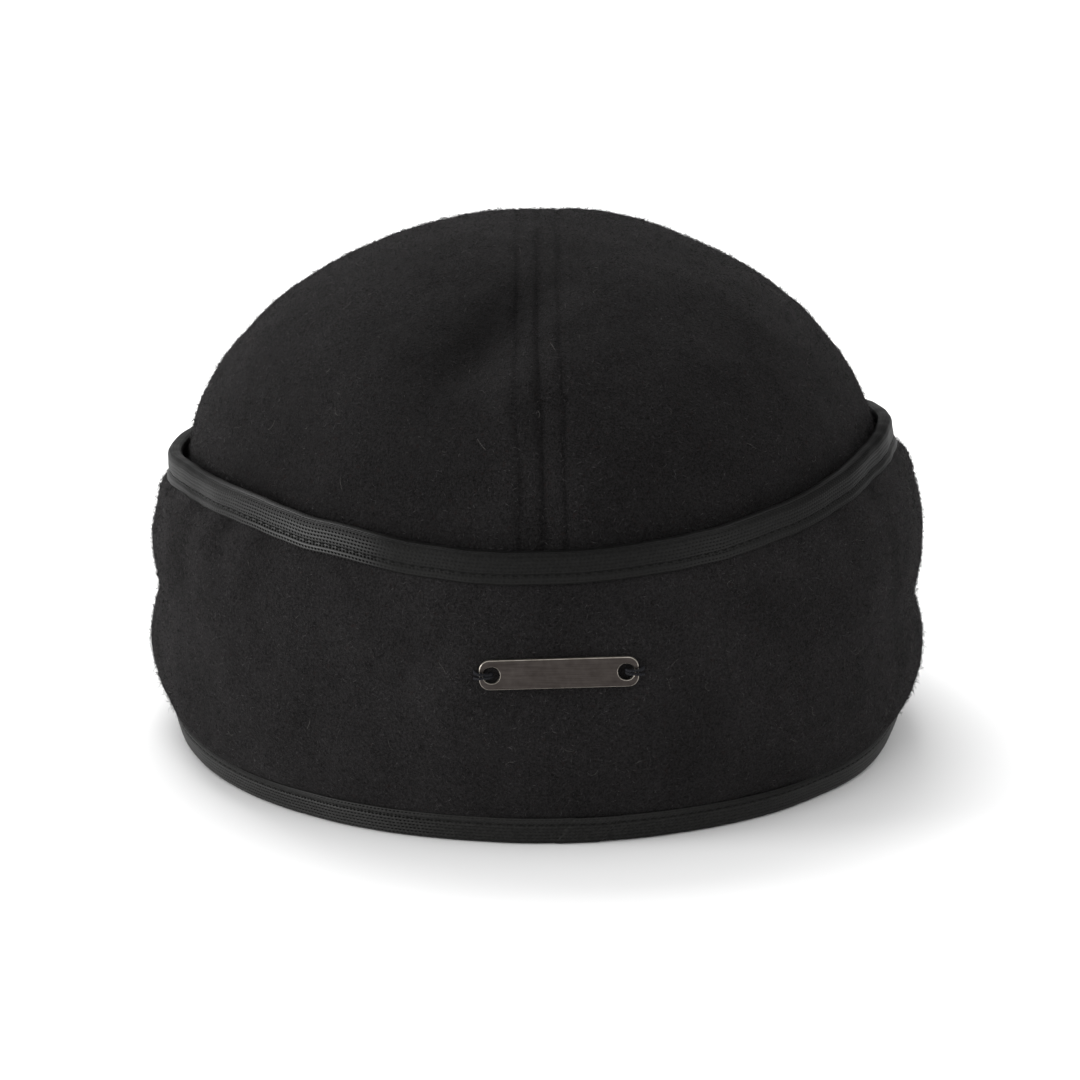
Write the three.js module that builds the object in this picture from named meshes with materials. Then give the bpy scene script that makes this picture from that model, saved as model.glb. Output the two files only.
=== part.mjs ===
// A railroad cap of dark wool: a round crown of four panels, an ear band folded up round it,
// tape bound over both edges of the band, a short peak and a small metal label at the back.
// Millimetres, +Z up, the peak towards -Y, the back of the cap towards +Y, the wearer's left +X.
// The cap lies on a flat surface at z = 0, on the back of its lower edge and on its peak.

import * as THREE from "three";

// Clearance that neighbouring pieces keep
const gap = 0.35;

// Thickness of the cloths and of the folded tape
const crownCloth = 2.2;
const bandCloth = 2.6;
const tapeThickness = 0.8;
const peakThickness = 2.5;

// Ear band: its widest half width and its reaches to the back and to the front of the widest line
const bandHalfWidth = 93.9;
const bandBackReach = 105.2;
const bandFrontReach = 116;
const bandHeight = 68.7;
const bandFrontDrop = 7;
const bandFrontSharpness = 2;
const bandRiseStart = 3;

// Lower edge: flat on the ground round the back as far as flatAngle, then rising to the front
const flatAngle = 50;
const frontLift = 18;

// Tape bound over the two edges
const topTapeHeight = 7.2;
const topTapeInsideHeight = 6.4;
const lowerTapeHeight = 6.7;
const lowerTapeInsideHeight = 6;
const tapeRounding = 1.6;

// Crown: a superellipse dome on a nearly upright wall
const crownHeight = 123.5;
const shoulderHeight = 62;
const domeRoundness = 2;
const crownSlack = { side: 0.15, back: 0.4, front: 0.4 };
const seamDip = 0.8;
const seamDipWidth = 5;
const topSmoothing = 3;

// Peak: a crescent under the front of the lower edge
const peakDepth = 50;
const peakTuck = 5.5;
const peakHalfAngle = 60;
const peakTouchAngle = 42;
const peakMiddleDrop = 7.5;
const peakSlopeCurve = 1.3;
const peakOutlinePower = 3;

// Label: a bare metal plate held by a loop of thread at each end
const labelLength = 36;
const labelHeight = 7;
const labelThickness = 1.2;
const labelCorner = 2.4;
const labelBevel = 0.3;
const labelOffset = -5;
const labelCentreHeight = 41.6;
const labelTilt = 1.7;
const labelSeatDepth = 0.7;
const labelSeatMargin = 1.6;
const labelSeatFade = 12;
const holeRadius = 1.9;
const holeInset = 2.8;
const threadRadius = 0.45;
const threadHeight = 1.1;
const threadLanding = 1;
const threadSquareness = 3;

// Facets: columns round every loop (a multiple of four), dome rows and steps along a thread
const columns = 60;
const domeRows = 8;
const threadSteps = 10;
const threadSides = 8;

// The upper edge stands higher beside the ears: the angle from the back of its highest place in
// degrees, its rise as a share of bandHeight, and the spread of the rise along the band in degrees
const bandRises = {
  left: { angle: 60, rise: 0.076, along: 30 },
  right: { angle: 80, rise: 0.146, along: 42 },
};

// Ear band from its lower edge up: height as a share of the band's own height there, and the
// reaches to the side, the back and the front as shares of bandHalfWidth, bandBackReach and
// bandFrontReach
const bandSections = [
  { height: 0.00, side: 0.931, back: 0.960, front: 0.966 },
  { height: 0.08, side: 0.949, back: 0.972, front: 0.974 },
  { height: 0.15, side: 0.980, back: 0.985, front: 0.983 },
  { height: 0.22, side: 0.996, back: 0.993, front: 0.988 },
  { height: 0.31, side: 1.000, back: 0.999, front: 0.988 },
  { height: 0.45, side: 0.996, back: 1.000, front: 0.984 },
  { height: 0.67, side: 0.997, back: 0.992, front: 0.972 },
  { height: 0.74, side: 0.989, back: 0.989, front: 0.967 },
  { height: 0.83, side: 0.971, back: 0.981, front: 0.960 },
  { height: 0.90, side: 0.935, back: 0.975, front: 0.953 },
  { height: 0.95, side: 0.927, back: 0.970, front: 0.949 },
  { height: 1.00, side: 0.925, back: 0.964, front: 0.946 },
];

// Folds of the ear band: angle from the back towards the wearer's left in degrees, height as a
// share of the band's own height there, depth as a share of bandCloth (out where negative), and
// the spreads of the fold along the band in degrees and up it as a share of that height
const bandFolds = [
  { angle: 84, height: 0.46, depth: 0.62, along: 26, up: 0.087 },
  { angle: -84, height: 0.42, depth: 0.66, along: 24, up: 0.080 },
  { angle: 66, height: 0.66, depth: 0.34, along: 6, up: 0.15 },
  { angle: 54, height: 0.62, depth: -0.22, along: 6, up: 0.15 },
  { angle: -66, height: 0.61, depth: 0.34, along: 6, up: 0.15 },
  { angle: -54, height: 0.62, depth: -0.2, along: 6, up: 0.15 },
  { angle: 84, height: 1.00, depth: -0.7, along: 38, up: 0.14 },
  { angle: -84, height: 1.00, depth: 0.7, along: 38, up: 0.14 },
];

// Dents and swells of the crown: angle from the back in degrees, height as a share of crownHeight,
// depth as a share of crownCloth (out where negative), and the spreads round and up the crown
const crownDents = [
  { angle: 20, height: 0.88, depth: 0.75, along: 16, up: 0.10 },
  { angle: 90, height: 0.61, depth: -1.1, along: 38, up: 0.15 },
  { angle: 62, height: 0.83, depth: -0.45, along: 26, up: 0.10 },
  { angle: -62, height: 0.84, depth: -0.5, along: 26, up: 0.10 },
  { angle: 80, height: 0.95, depth: 0.45, along: 45, up: 0.06 },
  { angle: -80, height: 0.96, depth: 0.55, along: 45, up: 0.06 },
];

// Rows of the ear band as shares of its wall; the label's seat adds its two rows between them
const bandRowShares = [0, 0.09, 0.2, 0.32, 0.45, 0.78, 0.86, 0.91, 0.955, 1];

// Rows of the peak, as shares of the way from the tape to its edge
const peakRowShares = [0, 0.3, 0.6, 0.85, 1];

const degrees = Math.PI / 180;
const loopAngles = Array.from({ length: columns }, (_, i) => (i * 360) / columns - 180);

function smoothStep(share) {
  const s = Math.min(Math.max(share, 0), 1);
  return s * s * (3 - 2 * s);
}

function bell(offset, spread) {
  return Math.exp(-((offset / spread) ** 2));
}

// Smallest turn from one angle to another, in degrees
function turnBetween(from, to) {
  return ((to - from + 540) % 360) - 180;
}

// A column of a table of sections at a height share, along a curve through its rows
function readSection(table, column, height) {
  const last = table.length - 1;
  const at = Math.min(Math.max(height, table[0].height), table[last].height);
  const i = Math.min(table.findLastIndex((row) => row.height <= at), last - 1);
  const slope = (k) => {
    const low = table[Math.max(k - 1, 0)];
    const high = table[Math.min(k + 1, last)];
    return (high[column] - low[column]) / (high.height - low.height);
  };
  const span = table[i + 1].height - table[i].height;
  const u = (at - table[i].height) / span;
  const start = (1 + 2 * u) * (1 - u) ** 2 * table[i][column] + u * (1 - u) ** 2 * span * slope(i);
  const end = u * u * (3 - 2 * u) * table[i + 1][column] - u * u * (1 - u) * span * slope(i + 1);
  return start + end;
}

function foldDepth(table, angle, heightShare, cloth) {
  const parts = table.map((fold) => {
    const along = bell(turnBetween(fold.angle, angle), fold.along);
    return fold.depth * cloth * along * bell(heightShare - fold.height, fold.up);
  });
  return parts.reduce((sum, part) => sum + part, 0);
}

// Height of the underside of the lower tape round the cap
function lowerEdge(angle) {
  return frontLift * smoothStep((Math.abs(angle) - flatAngle) / (180 - flatAngle));
}

// Height of the top of the upper tape round the cap
function upperEdge(angle) {
  const side = bandRises[angle > 0 ? "left" : "right"];
  const beside = smoothStep(bandRiseStart * Math.abs(Math.sin(angle * degrees)));
  const rise = bandHeight * side.rise * beside * bell(Math.abs(angle) - side.angle, side.along);
  const front = ((1 - Math.cos(angle * degrees)) / 2) ** bandFrontSharpness;
  return bandHeight + rise - bandFrontDrop * front;
}

// Height in the ear band as a share of the band's own height at that angle
function bandShare(angle, z) {
  return (z - lowerEdge(angle)) / (upperEdge(angle) - lowerEdge(angle));
}

// Half width and reaches of the ear band's outer oval at a share of its height
function bandOval(height) {
  return {
    side: bandHalfWidth * readSection(bandSections, "side", height),
    back: bandBackReach * readSection(bandSections, "back", height),
    front: bandFrontReach * readSection(bandSections, "front", height),
  };
}

// Point of an oval at an angle, drawn inwards by inset
function ovalPoint(oval, angle, z, inset) {
  const along = Math.cos(angle * degrees) >= 0 ? oval.back : oval.front;
  const x = (oval.side - inset) * Math.sin(angle * degrees);
  return [x, (along - inset) * Math.cos(angle * degrees), z];
}

const labelSeatHalfHeight = labelHeight / 2 + labelSeatMargin;
const labelSeatHalfWidth = labelLength / 2 - holeInset;
const labelSeatPlane = bandOval(bandShare(0, labelCentreHeight)).back - labelSeatDepth;

// How far the ear band is pressed flat behind the label, from 0 to 1
function labelSeatShare(x, z) {
  const beside = Math.abs(x - labelOffset) - labelSeatHalfWidth;
  const above = Math.abs(z - labelCentreHeight) - labelSeatHalfHeight;
  return smoothStep(1 - beside / labelSeatFade) * smoothStep(1 - above / labelSeatFade);
}

// Point in the ear band at an angle and a height, inset from its outer face; tape that lies on
// the band takes a negative inset
function bandPoint(angle, z, inset) {
  const height = bandShare(angle, z);
  const fold = foldDepth(bandFolds, angle, height, bandCloth);
  const [x, y] = ovalPoint(bandOval(height), angle, z, inset + fold);
  if (y < 0) return [x, y, z];
  return [x, y + labelSeatShare(x, z) * (labelSeatPlane - inset - y), z];
}

// Share of the crown's reach that is left at a height
const domeHeight = crownHeight - shoulderHeight;
function domeShare(z) {
  const rise = Math.max(z - shoulderHeight, 0) / domeHeight;
  return Math.max(1 - rise ** domeRoundness, 0) ** (1 / domeRoundness);
}

// Reach of the crown's shoulder in one direction: wherever it meets the top of the upper tape, the
// dome keeps clear of the tape's inner leg
function crownReach(direction, angles) {
  const legInset = bandCloth + gap + tapeThickness;
  const reaches = angles.map((angle) => {
    const fold = foldDepth(bandFolds, angle, 1, bandCloth);
    const room = bandOval(1)[direction] - fold - legInset - gap;
    return (room - crownSlack[direction]) / domeShare(upperEdge(angle));
  });
  return Math.min(...reaches);
}

// The side's reach counts all round, the back's and the front's on their own half of the oval
const crownOval = {
  side: crownReach("side", loopAngles),
  back: crownReach("back", loopAngles.filter((angle) => Math.abs(angle) < 90)),
  front: crownReach("front", loopAngles.filter((angle) => Math.abs(angle) > 90)),
};

// Oval of the crown's wall below its shoulder: it lines the ear band at the lower edge and turns
// into the shoulder's oval halfway up
function crownWallOval(z, angle) {
  const above = z - lowerEdge(angle);
  const own = smoothStep((above - lowerTapeHeight) / (shoulderHeight / 2 - lowerTapeHeight));
  const band = bandOval(bandShare(angle, z));
  const mix = (name) => own * crownOval[name] + (1 - own) * (band[name] - bandCloth - gap);
  return { side: mix("side"), back: mix("back"), front: mix("front") };
}

// One closed body from polygons of points, sharing each point and facing outwards
function bodyFromPolygons(polygons) {
  const numbers = new Map();
  const positions = [];
  const numberOf = (point) => {
    const key = point.map((value) => Math.round(value * 1e4)).join(" ");
    if (!numbers.has(key)) {
      numbers.set(key, positions.length / 3);
      positions.push(...point);
    }
    return numbers.get(key);
  };
  const triangles = [];
  for (const polygon of polygons) {
    const [first, ...others] = polygon.map(numberOf);
    for (let i = 1; i < others.length; i += 1) {
      const triangle = [first, others[i - 1], others[i]];
      if (new Set(triangle).size === 3) triangles.push(triangle);
    }
  }
  const corner = (n) => new THREE.Vector3().fromArray(positions, 3 * n);
  const volumeOf = ([a, b, c]) => corner(a).dot(corner(b).cross(corner(c)));
  const inward = triangles.reduce((sum, triangle) => sum + volumeOf(triangle), 0) < 0;
  const geometry = new THREE.BufferGeometry();
  geometry.setAttribute("position", new THREE.Float32BufferAttribute(positions, 3));
  geometry.setIndex(triangles.flatMap((triangle) => (inward ? triangle.reverse() : triangle)));
  geometry.computeVertexNormals();
  return geometry;
}

// A closed outline carried round the cap; outlineAt gives its points at an angle
function loopBody(outlineAt) {
  const outlines = loopAngles.map(outlineAt);
  const polygons = [];
  outlines.forEach((outline, i) => {
    const next = outlines[(i + 1) % outlines.length];
    outline.forEach((point, j) => {
      const k = (j + 1) % outline.length;
      polygons.push([point, next[j], next[k], outline[k]]);
    });
  });
  return bodyFromPolygons(polygons);
}

// A closed outline carried along an open run of stations, with both ends closed across the wall:
// each outline goes up the outside and comes down the inside, so its ends are strips of quads
function stripBody(outlines) {
  const polygons = [];
  for (let i = 0; i + 1 < outlines.length; i += 1) {
    outlines[i].forEach((point, j) => {
      const k = (j + 1) % outlines[i].length;
      polygons.push([point, outlines[i + 1][j], outlines[i + 1][k], outlines[i][k]]);
    });
  }
  for (const end of [outlines[0], outlines[outlines.length - 1].slice().reverse()]) {
    for (let j = 0; j < end.length / 2 - 1; j += 1) {
      polygons.push([end[j], end[j + 1], end[end.length - 2 - j], end[end.length - 1 - j]]);
    }
  }
  return bodyFromPolygons(polygons);
}

function earBand() {
  const low = tapeThickness + gap;
  const wall = bandHeight - 2 * low;
  const seatRows = [-labelSeatHalfHeight, labelSeatHalfHeight].map((side) => {
    return (labelCentreHeight + side - low) / wall;
  });
  const rows = [...bandRowShares, ...seatRows].sort((a, b) => a - b);
  return loopBody((angle) => {
    const bottom = lowerEdge(angle) + low;
    const height = (share) => bottom + share * (upperEdge(angle) - low - bottom);
    const outside = rows.map((share) => bandPoint(angle, height(share), 0));
    const inside = rows.map((share) => bandPoint(angle, height(share), bandCloth));
    return [...outside, ...inside.reverse()];
  });
}

// A strip of tape folded over an edge: two legs and a rounded web. inset runs inwards from the
// cloth's outer face, height runs from the web towards the lips.
function tapeOutline(clothDepth, outsideHeight, insideHeight) {
  const outer = -gap - tapeThickness;
  const inner = clothDepth + gap + tapeThickness;
  const corner = tapeRounding / 2;
  return [
    { inset: outer, height: outsideHeight },
    { inset: outer, height: outsideHeight / 2 },
    { inset: outer, height: tapeRounding },
    { inset: outer + corner, height: 0 },
    { inset: inner - corner, height: 0 },
    { inset: inner, height: tapeRounding },
    { inset: inner, height: insideHeight / 2 },
    { inset: inner, height: insideHeight },
    { inset: inner - tapeThickness, height: insideHeight },
    { inset: inner - tapeThickness, height: insideHeight / 2 },
    { inset: inner - tapeThickness, height: tapeThickness },
    { inset: outer + tapeThickness, height: tapeThickness },
    { inset: outer + tapeThickness, height: outsideHeight / 2 },
    { inset: outer + tapeThickness, height: outsideHeight },
  ];
}

function upperTape() {
  const outline = tapeOutline(bandCloth, topTapeHeight, topTapeInsideHeight);
  return loopBody((angle) => {
    return outline.map(({ inset, height }) => bandPoint(angle, upperEdge(angle) - height, inset));
  });
}

function lowerTape() {
  const cloths = bandCloth + gap + crownCloth;
  const outline = tapeOutline(cloths, lowerTapeHeight, lowerTapeInsideHeight);
  return loopBody((angle) => {
    return outline.map(({ inset, height }) => bandPoint(angle, lowerEdge(angle) + height, inset));
  });
}

// Rows of the crown at an angle: upright wall rows, then dome rows whose rise and share of the
// reach follow the superellipse
function crownRows(angle) {
  const edge = lowerEdge(angle) + tapeThickness + gap;
  const taped = lowerEdge(angle) + lowerTapeHeight;
  const wall = [edge, taped, (taped + shoulderHeight) / 2].map((z) => ({ z, rise: 0, share: 1 }));
  const power = 2 / domeRoundness;
  const dome = Array.from({ length: domeRows + 1 }, (_, i) => {
    const turn = (i / domeRows) * 90 * degrees;
    return { z: shoulderHeight, rise: Math.sin(turn) ** power, share: Math.cos(turn) ** power };
  });
  return [...wall, ...dome];
}

// Point of a crown panel: turn runs from the seam plane at the back or front to the one at the
// side. The panel dips towards its seams and keeps half the gap from each seam plane.
function crownPoint(xSide, ySide, turn, row, inset) {
  const angle = xSide * (ySide > 0 ? turn : 180 - turn);
  const height = row.z + domeHeight * row.rise;
  const oval = row.z < shoulderHeight ? crownWallOval(row.z, angle) : crownOval;
  const along = ySide > 0 ? oval.back : oval.front;
  const aboveTape = (height - lowerEdge(angle) - lowerTapeHeight) / lowerTapeHeight;
  const free = smoothStep(aboveTape) * smoothStep(topSmoothing * row.share);
  const toSeam = Math.min(turn, 90 - turn) * degrees * oval.side * row.share;
  const dent = foldDepth(crownDents, angle, height / crownHeight, crownCloth);
  const depth = inset + free * (seamDip * bell(toSeam, seamDipWidth) + dent);
  const half = gap / 2;
  const x = half + (oval.side - depth - half) * row.share * Math.sin(turn * degrees);
  const y = half + (along - depth - half) * row.share * Math.cos(turn * degrees);
  return [xSide * x, ySide * y, row.z + (domeHeight - depth) * row.rise];
}

function crownPanel(xSide, ySide) {
  const perQuarter = columns / 4;
  const outlines = Array.from({ length: perQuarter + 1 }, (_, step) => {
    const turn = (step * 90) / perQuarter;
    const rows = crownRows(ySide > 0 ? turn : 180 - turn);
    const outside = rows.map((row) => crownPoint(xSide, ySide, turn, row, 0));
    const inside = rows.map((row) => crownPoint(xSide, ySide, turn, row, crownCloth));
    return [...outside, ...inside.reverse()];
  });
  return stripBody(outlines);
}

// Height that the peak's edge lies below its root: the middle drops a little, and the two places
// at peakTouchAngle from the middle reach the ground
function peakDrop(fromFront) {
  const room = lowerEdge(180 - fromFront) - gap - peakThickness;
  const toTouch = Math.sin(Math.min(fromFront / peakTouchAngle, 1) * 90 * degrees) ** 2;
  const toCorner = (fromFront - peakTouchAngle) / (peakHalfAngle - peakTouchAngle);
  const middle = Math.min(peakMiddleDrop, room);
  return (middle + (room - middle) * toTouch) * (1 - smoothStep(toCorner));
}

// Point of the peak's upper face; out is the share of the way from the tape to the peak's edge
function peakPoint(angle, out, inset) {
  const fromFront = 180 - Math.abs(angle);
  const depth = peakDepth * (1 - (fromFront / peakHalfAngle) ** peakOutlinePower);
  const z = lowerEdge(angle) - gap - peakDrop(fromFront) * out ** peakSlopeCurve;
  return ovalPoint(bandOval(0), angle, z, inset - out * depth);
}

function peak() {
  const tapeFace = -gap - tapeThickness;
  const step = 360 / columns;
  const stations = Math.floor(peakHalfAngle / step);
  const outlines = Array.from({ length: 2 * stations + 1 }, (_, i) => {
    const fromFront = ((i - stations) * peakHalfAngle) / stations;
    const angle = fromFront < 0 ? -180 - fromFront : 180 - fromFront;
    const upper = [
      peakPoint(angle, 0, tapeFace + peakTuck),
      ...peakRowShares.map((out) => peakPoint(angle, out, tapeFace)),
    ];
    const lower = upper.map(([x, y, z]) => [x, y, z - peakThickness]);
    return [...upper, ...lower.reverse()];
  });
  return stripBody(outlines);
}

// The label's plate with its back on the plane y = 0 and its length along X
function labelPlate() {
  const halfLength = labelLength / 2;
  const halfHeight = labelHeight / 2;
  const plate = new THREE.Shape();
  const corners = [[1, 1, 0], [-1, 1, 90], [-1, -1, 180], [1, -1, 270]];
  for (const [sideX, sideY, from] of corners) {
    const x = sideX * (halfLength - labelCorner);
    const y = sideY * (halfHeight - labelCorner);
    plate.absarc(x, y, labelCorner, from * degrees, (from + 90) * degrees, false);
  }
  for (const side of [-1, 1]) {
    const hole = new THREE.Path();
    hole.absarc(side * (halfLength - holeInset), 0, holeRadius, 0, 360 * degrees, true);
    plate.holes.push(hole);
  }
  const geometry = new THREE.ExtrudeGeometry(plate, {
    depth: labelThickness - 2 * labelBevel,
    bevelThickness: labelBevel,
    bevelSize: labelBevel,
    bevelOffset: -labelBevel,
    bevelSegments: 1,
    curveSegments: 4,
  });
  geometry.translate(0, 0, labelBevel);
  return geometry.rotateX(-90 * degrees);
}

// A loop of thread out of a hole, over the end of the plate and back to the cloth
class ThreadArch extends THREE.Curve {
  constructor(side) {
    super();
    this.from = side * (labelLength / 2 - holeInset);
    this.to = side * (labelLength / 2 + threadLanding);
  }

  getPoint(share, target = new THREE.Vector3()) {
    const turn = share * 180 * degrees;
    const power = 2 / threadSquareness;
    const across = Math.sign(Math.cos(turn)) * Math.abs(Math.cos(turn)) ** power;
    const x = (this.from + this.to) / 2 + ((this.from - this.to) / 2) * across;
    const rise = Math.max(Math.sin(turn), 0) ** power;
    return target.set(x, (labelThickness + threadHeight) * rise, 0);
  }
}

function labelThread(side) {
  const section = new THREE.Shape();
  section.absarc(0, 0, threadRadius, 0, 360 * degrees, false);
  return new THREE.ExtrudeGeometry(section, {
    steps: threadSteps,
    curveSegments: threadSides / 2,
    extrudePath: new ThreadArch(side),
  });
}

const wool = { color: 0x2b2a2c, roughness: 0.95, metalness: 0 };
const wovenTape = { color: 0x34333a, roughness: 0.8, metalness: 0 };
const nickel = { color: 0x8c8178, roughness: 0.42, metalness: 1 };
const darkThread = { color: 0x161616, roughness: 0.75, metalness: 0 };

function piece(name, geometry, finish) {
  const mesh = new THREE.Mesh(geometry, new THREE.MeshStandardMaterial(finish));
  mesh.name = name;
  return mesh;
}

const label = new THREE.Group();
label.add(
  piece("label_plate", labelPlate(), nickel),
  piece("thread_left", labelThread(1), darkThread),
  piece("thread_right", labelThread(-1), darkThread),
);
label.position.set(labelOffset, labelSeatPlane + gap, labelCentreHeight);
label.rotation.y = labelTilt * degrees;

const cap = new THREE.Group();
cap.add(
  piece("crown_back_left", crownPanel(1, 1), wool),
  piece("crown_back_right", crownPanel(-1, 1), wool),
  piece("crown_front_left", crownPanel(1, -1), wool),
  piece("crown_front_right", crownPanel(-1, -1), wool),
  piece("ear_band", earBand(), wool),
  piece("binding_top", upperTape(), wovenTape),
  piece("binding_bottom", lowerTape(), wovenTape),
  piece("peak", peak(), wool),
  label,
);

// The origin lies on the ground under the middle of the whole cap
const box = new THREE.Box3().setFromObject(cap);
const middle = box.getCenter(new THREE.Vector3());
cap.position.set(-middle.x, -middle.y, -box.min.z);

export default cap;
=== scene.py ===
# %% [markdown]
# # A railroad cap of dark wool
# The cap lies on a white table and is seen from behind. It is made of soft things: a felted wool
# crown sewn from four panels, an ear band of the same wool folded up round it, ribbed woven tape
# bound over both edges of the band, a short peak that the cap hides, and one hard thing, a small
# metal label held by thread. Every surface below is worked out with numpy on a grid, in
# millimetres, and is turned into metres only when it goes into a mesh.

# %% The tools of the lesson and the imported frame
import math

import bpy
import numpy as np
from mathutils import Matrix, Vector


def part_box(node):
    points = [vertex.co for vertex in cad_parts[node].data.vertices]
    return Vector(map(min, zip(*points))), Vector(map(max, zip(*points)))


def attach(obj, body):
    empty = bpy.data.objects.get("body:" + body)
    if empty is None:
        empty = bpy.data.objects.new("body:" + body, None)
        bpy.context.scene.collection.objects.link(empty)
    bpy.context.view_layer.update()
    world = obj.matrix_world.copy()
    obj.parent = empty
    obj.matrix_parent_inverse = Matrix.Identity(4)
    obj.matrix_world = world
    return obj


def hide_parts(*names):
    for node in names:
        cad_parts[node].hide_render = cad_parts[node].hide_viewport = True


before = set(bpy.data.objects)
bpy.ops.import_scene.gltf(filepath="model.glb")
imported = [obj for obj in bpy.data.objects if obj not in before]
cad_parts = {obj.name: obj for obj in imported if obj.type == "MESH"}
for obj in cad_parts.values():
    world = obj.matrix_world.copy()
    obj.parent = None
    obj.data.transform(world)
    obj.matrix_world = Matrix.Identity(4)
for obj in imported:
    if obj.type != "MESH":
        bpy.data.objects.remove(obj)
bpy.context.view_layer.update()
BODY = "root"
print("CAD nodes:", sorted(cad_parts))

# %% [markdown]
# ## Where the cap stands
# The part's ovals are drawn round one centre. That centre is where the four crown panels meet, so
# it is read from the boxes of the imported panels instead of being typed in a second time.

# %% The centre of the ovals, in millimetres of the frame
METRE = 1000.0


def panel_box(name):
    """Lowest and highest corner of a CAD node, in millimetres."""
    return [np.array(corner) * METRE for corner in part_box(name)]


back_left, back_right = panel_box("crown_back_left"), panel_box("crown_back_right")
front_left = panel_box("crown_front_left")
CENTRE = np.array([
    (back_left[0][0] + back_right[1][0]) / 2,
    (back_left[0][1] + front_left[1][1]) / 2,
    0.0,
])
print("Centre of the ovals, mm:", CENTRE.round(3))

# %% [markdown]
# ## Sizes of the cap
# These are the sizes that the solids were built from. A visible piece keeps to them, so that what
# is seen and what collides are the same cap, and adds the soft detail that a solid leaves out.

# %% Named sizes in millimetres and degrees
GAP = 0.35
CROWN_CLOTH, BAND_CLOTH, TAPE_CLOTH, PEAK_BOARD = 2.2, 2.6, 0.8, 2.5
BAND_HALF_WIDTH, BAND_BACK_REACH, BAND_FRONT_REACH = 93.9, 105.2, 116.0
BAND_HEIGHT, BAND_FRONT_DROP, BAND_FRONT_SHARPNESS, BAND_RISE_START = 68.7, 7.0, 2.0, 3.0
FLAT_ANGLE, FRONT_LIFT = 50.0, 18.0
TOP_TAPE, TOP_TAPE_INSIDE = 7.2, 6.4
LOW_TAPE, LOW_TAPE_INSIDE = 6.7, 6.0
CROWN_HEIGHT, SHOULDER = 123.5, 62.0
CROWN_SLACK = np.array([0.15, 0.4, 0.4])
PEAK_DEPTH, PEAK_TUCK, PEAK_HALF_ANGLE, PEAK_TOUCH_ANGLE = 50.0, 5.5, 60.0, 42.0
PEAK_MIDDLE_DROP, PEAK_SLOPE_CURVE, PEAK_OUTLINE_POWER = 7.5, 1.3, 3.0
LABEL_LENGTH, LABEL_HEIGHT, LABEL_THICKNESS, LABEL_CORNER = 36.0, 7.0, 1.2, 2.4
LABEL_OFFSET, LABEL_CENTRE_HEIGHT, LABEL_TILT = -5.0, 41.6, 1.7
LABEL_SEAT_DEPTH, LABEL_SEAT_MARGIN, LABEL_SEAT_FADE = 0.7, 1.6, 12.0
HOLE_RADIUS, HOLE_INSET = 1.9, 2.8

# %% [markdown]
# ## Small formulas that every soft shape uses
# Cloth has no hard steps. A bell curve gives a fold or a dent, a smooth step blends two shapes,
# and a sum of long waves with random directions gives the lumps that felted wool always has. The
# waves run through space and not along the cloth, so they meet themselves round a closed band.

# %% Bells, steps and waves


def smooth(share):
    """Goes from 0 to 1 without a corner: three squares less two cubes of the clamped share."""
    s = np.clip(share, 0.0, 1.0)
    return s * s * (3.0 - 2.0 * s)


def bell(offset, spread):
    """One at the middle, falling to nothing: e to the minus square of offset over spread."""
    return np.exp(-((offset / spread) ** 2))


def turn_between(start, end):
    """Smallest turn from one angle to another, in degrees, from -180 to 180."""
    return (end - start + 540.0) % 360.0 - 180.0


def waves(points, seed, shortest, longest, height, count=28):
    """A sum of sines of position: each has its own direction, length and phase, and a height
    that goes with its length. The result has about the given height."""
    rng = np.random.default_rng(seed)
    way = rng.normal(size=(3, count))
    way /= np.linalg.norm(way, axis=0)
    length = shortest * (longest / shortest) ** rng.random(count)
    phase = rng.random(count) * 2 * np.pi
    weight = length / np.sqrt((length**2).sum() / 2)
    return height * (np.sin(points @ (way * 2 * np.pi / length) + phase) * weight).sum(-1)


print("A wave's height over a line:", waves(np.zeros((3, 3)), 1, 10, 30, 1.0).round(2))

# %% [markdown]
# ## The ear band's ovals
# Seen from above, the band is an oval that is longer to the front than to the back, and it
# changes from row to row: it leans out over its lower edge, is waisted at half its height and
# leans in again to its upper edge. A table holds its reach as shares of the named sizes, and a
# smooth curve runs through the rows, as a tailor's curve runs through marks.

# %% Tables of sections and folds, and the curve through them
# Height as a share of the band's own height, then the reaches to the side, back and front
BAND_SECTIONS = np.array([
    [0.00, 0.931, 0.960, 0.966], [0.08, 0.949, 0.972, 0.974], [0.15, 0.980, 0.985, 0.983],
    [0.22, 0.996, 0.993, 0.988], [0.31, 1.000, 0.999, 0.988], [0.45, 0.996, 1.000, 0.984],
    [0.67, 0.997, 0.992, 0.972], [0.74, 0.989, 0.989, 0.967], [0.83, 0.971, 0.981, 0.960],
    [0.90, 0.935, 0.975, 0.953], [0.95, 0.927, 0.970, 0.949], [1.00, 0.925, 0.964, 0.946],
])
# Where the upper edge stands higher: angle from the back, rise in mm, spread in degrees
BAND_RISE_LEFT, BAND_RISE_RIGHT = (60.0, 5.22, 30.0), (80.0, 10.03, 42.0)
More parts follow.
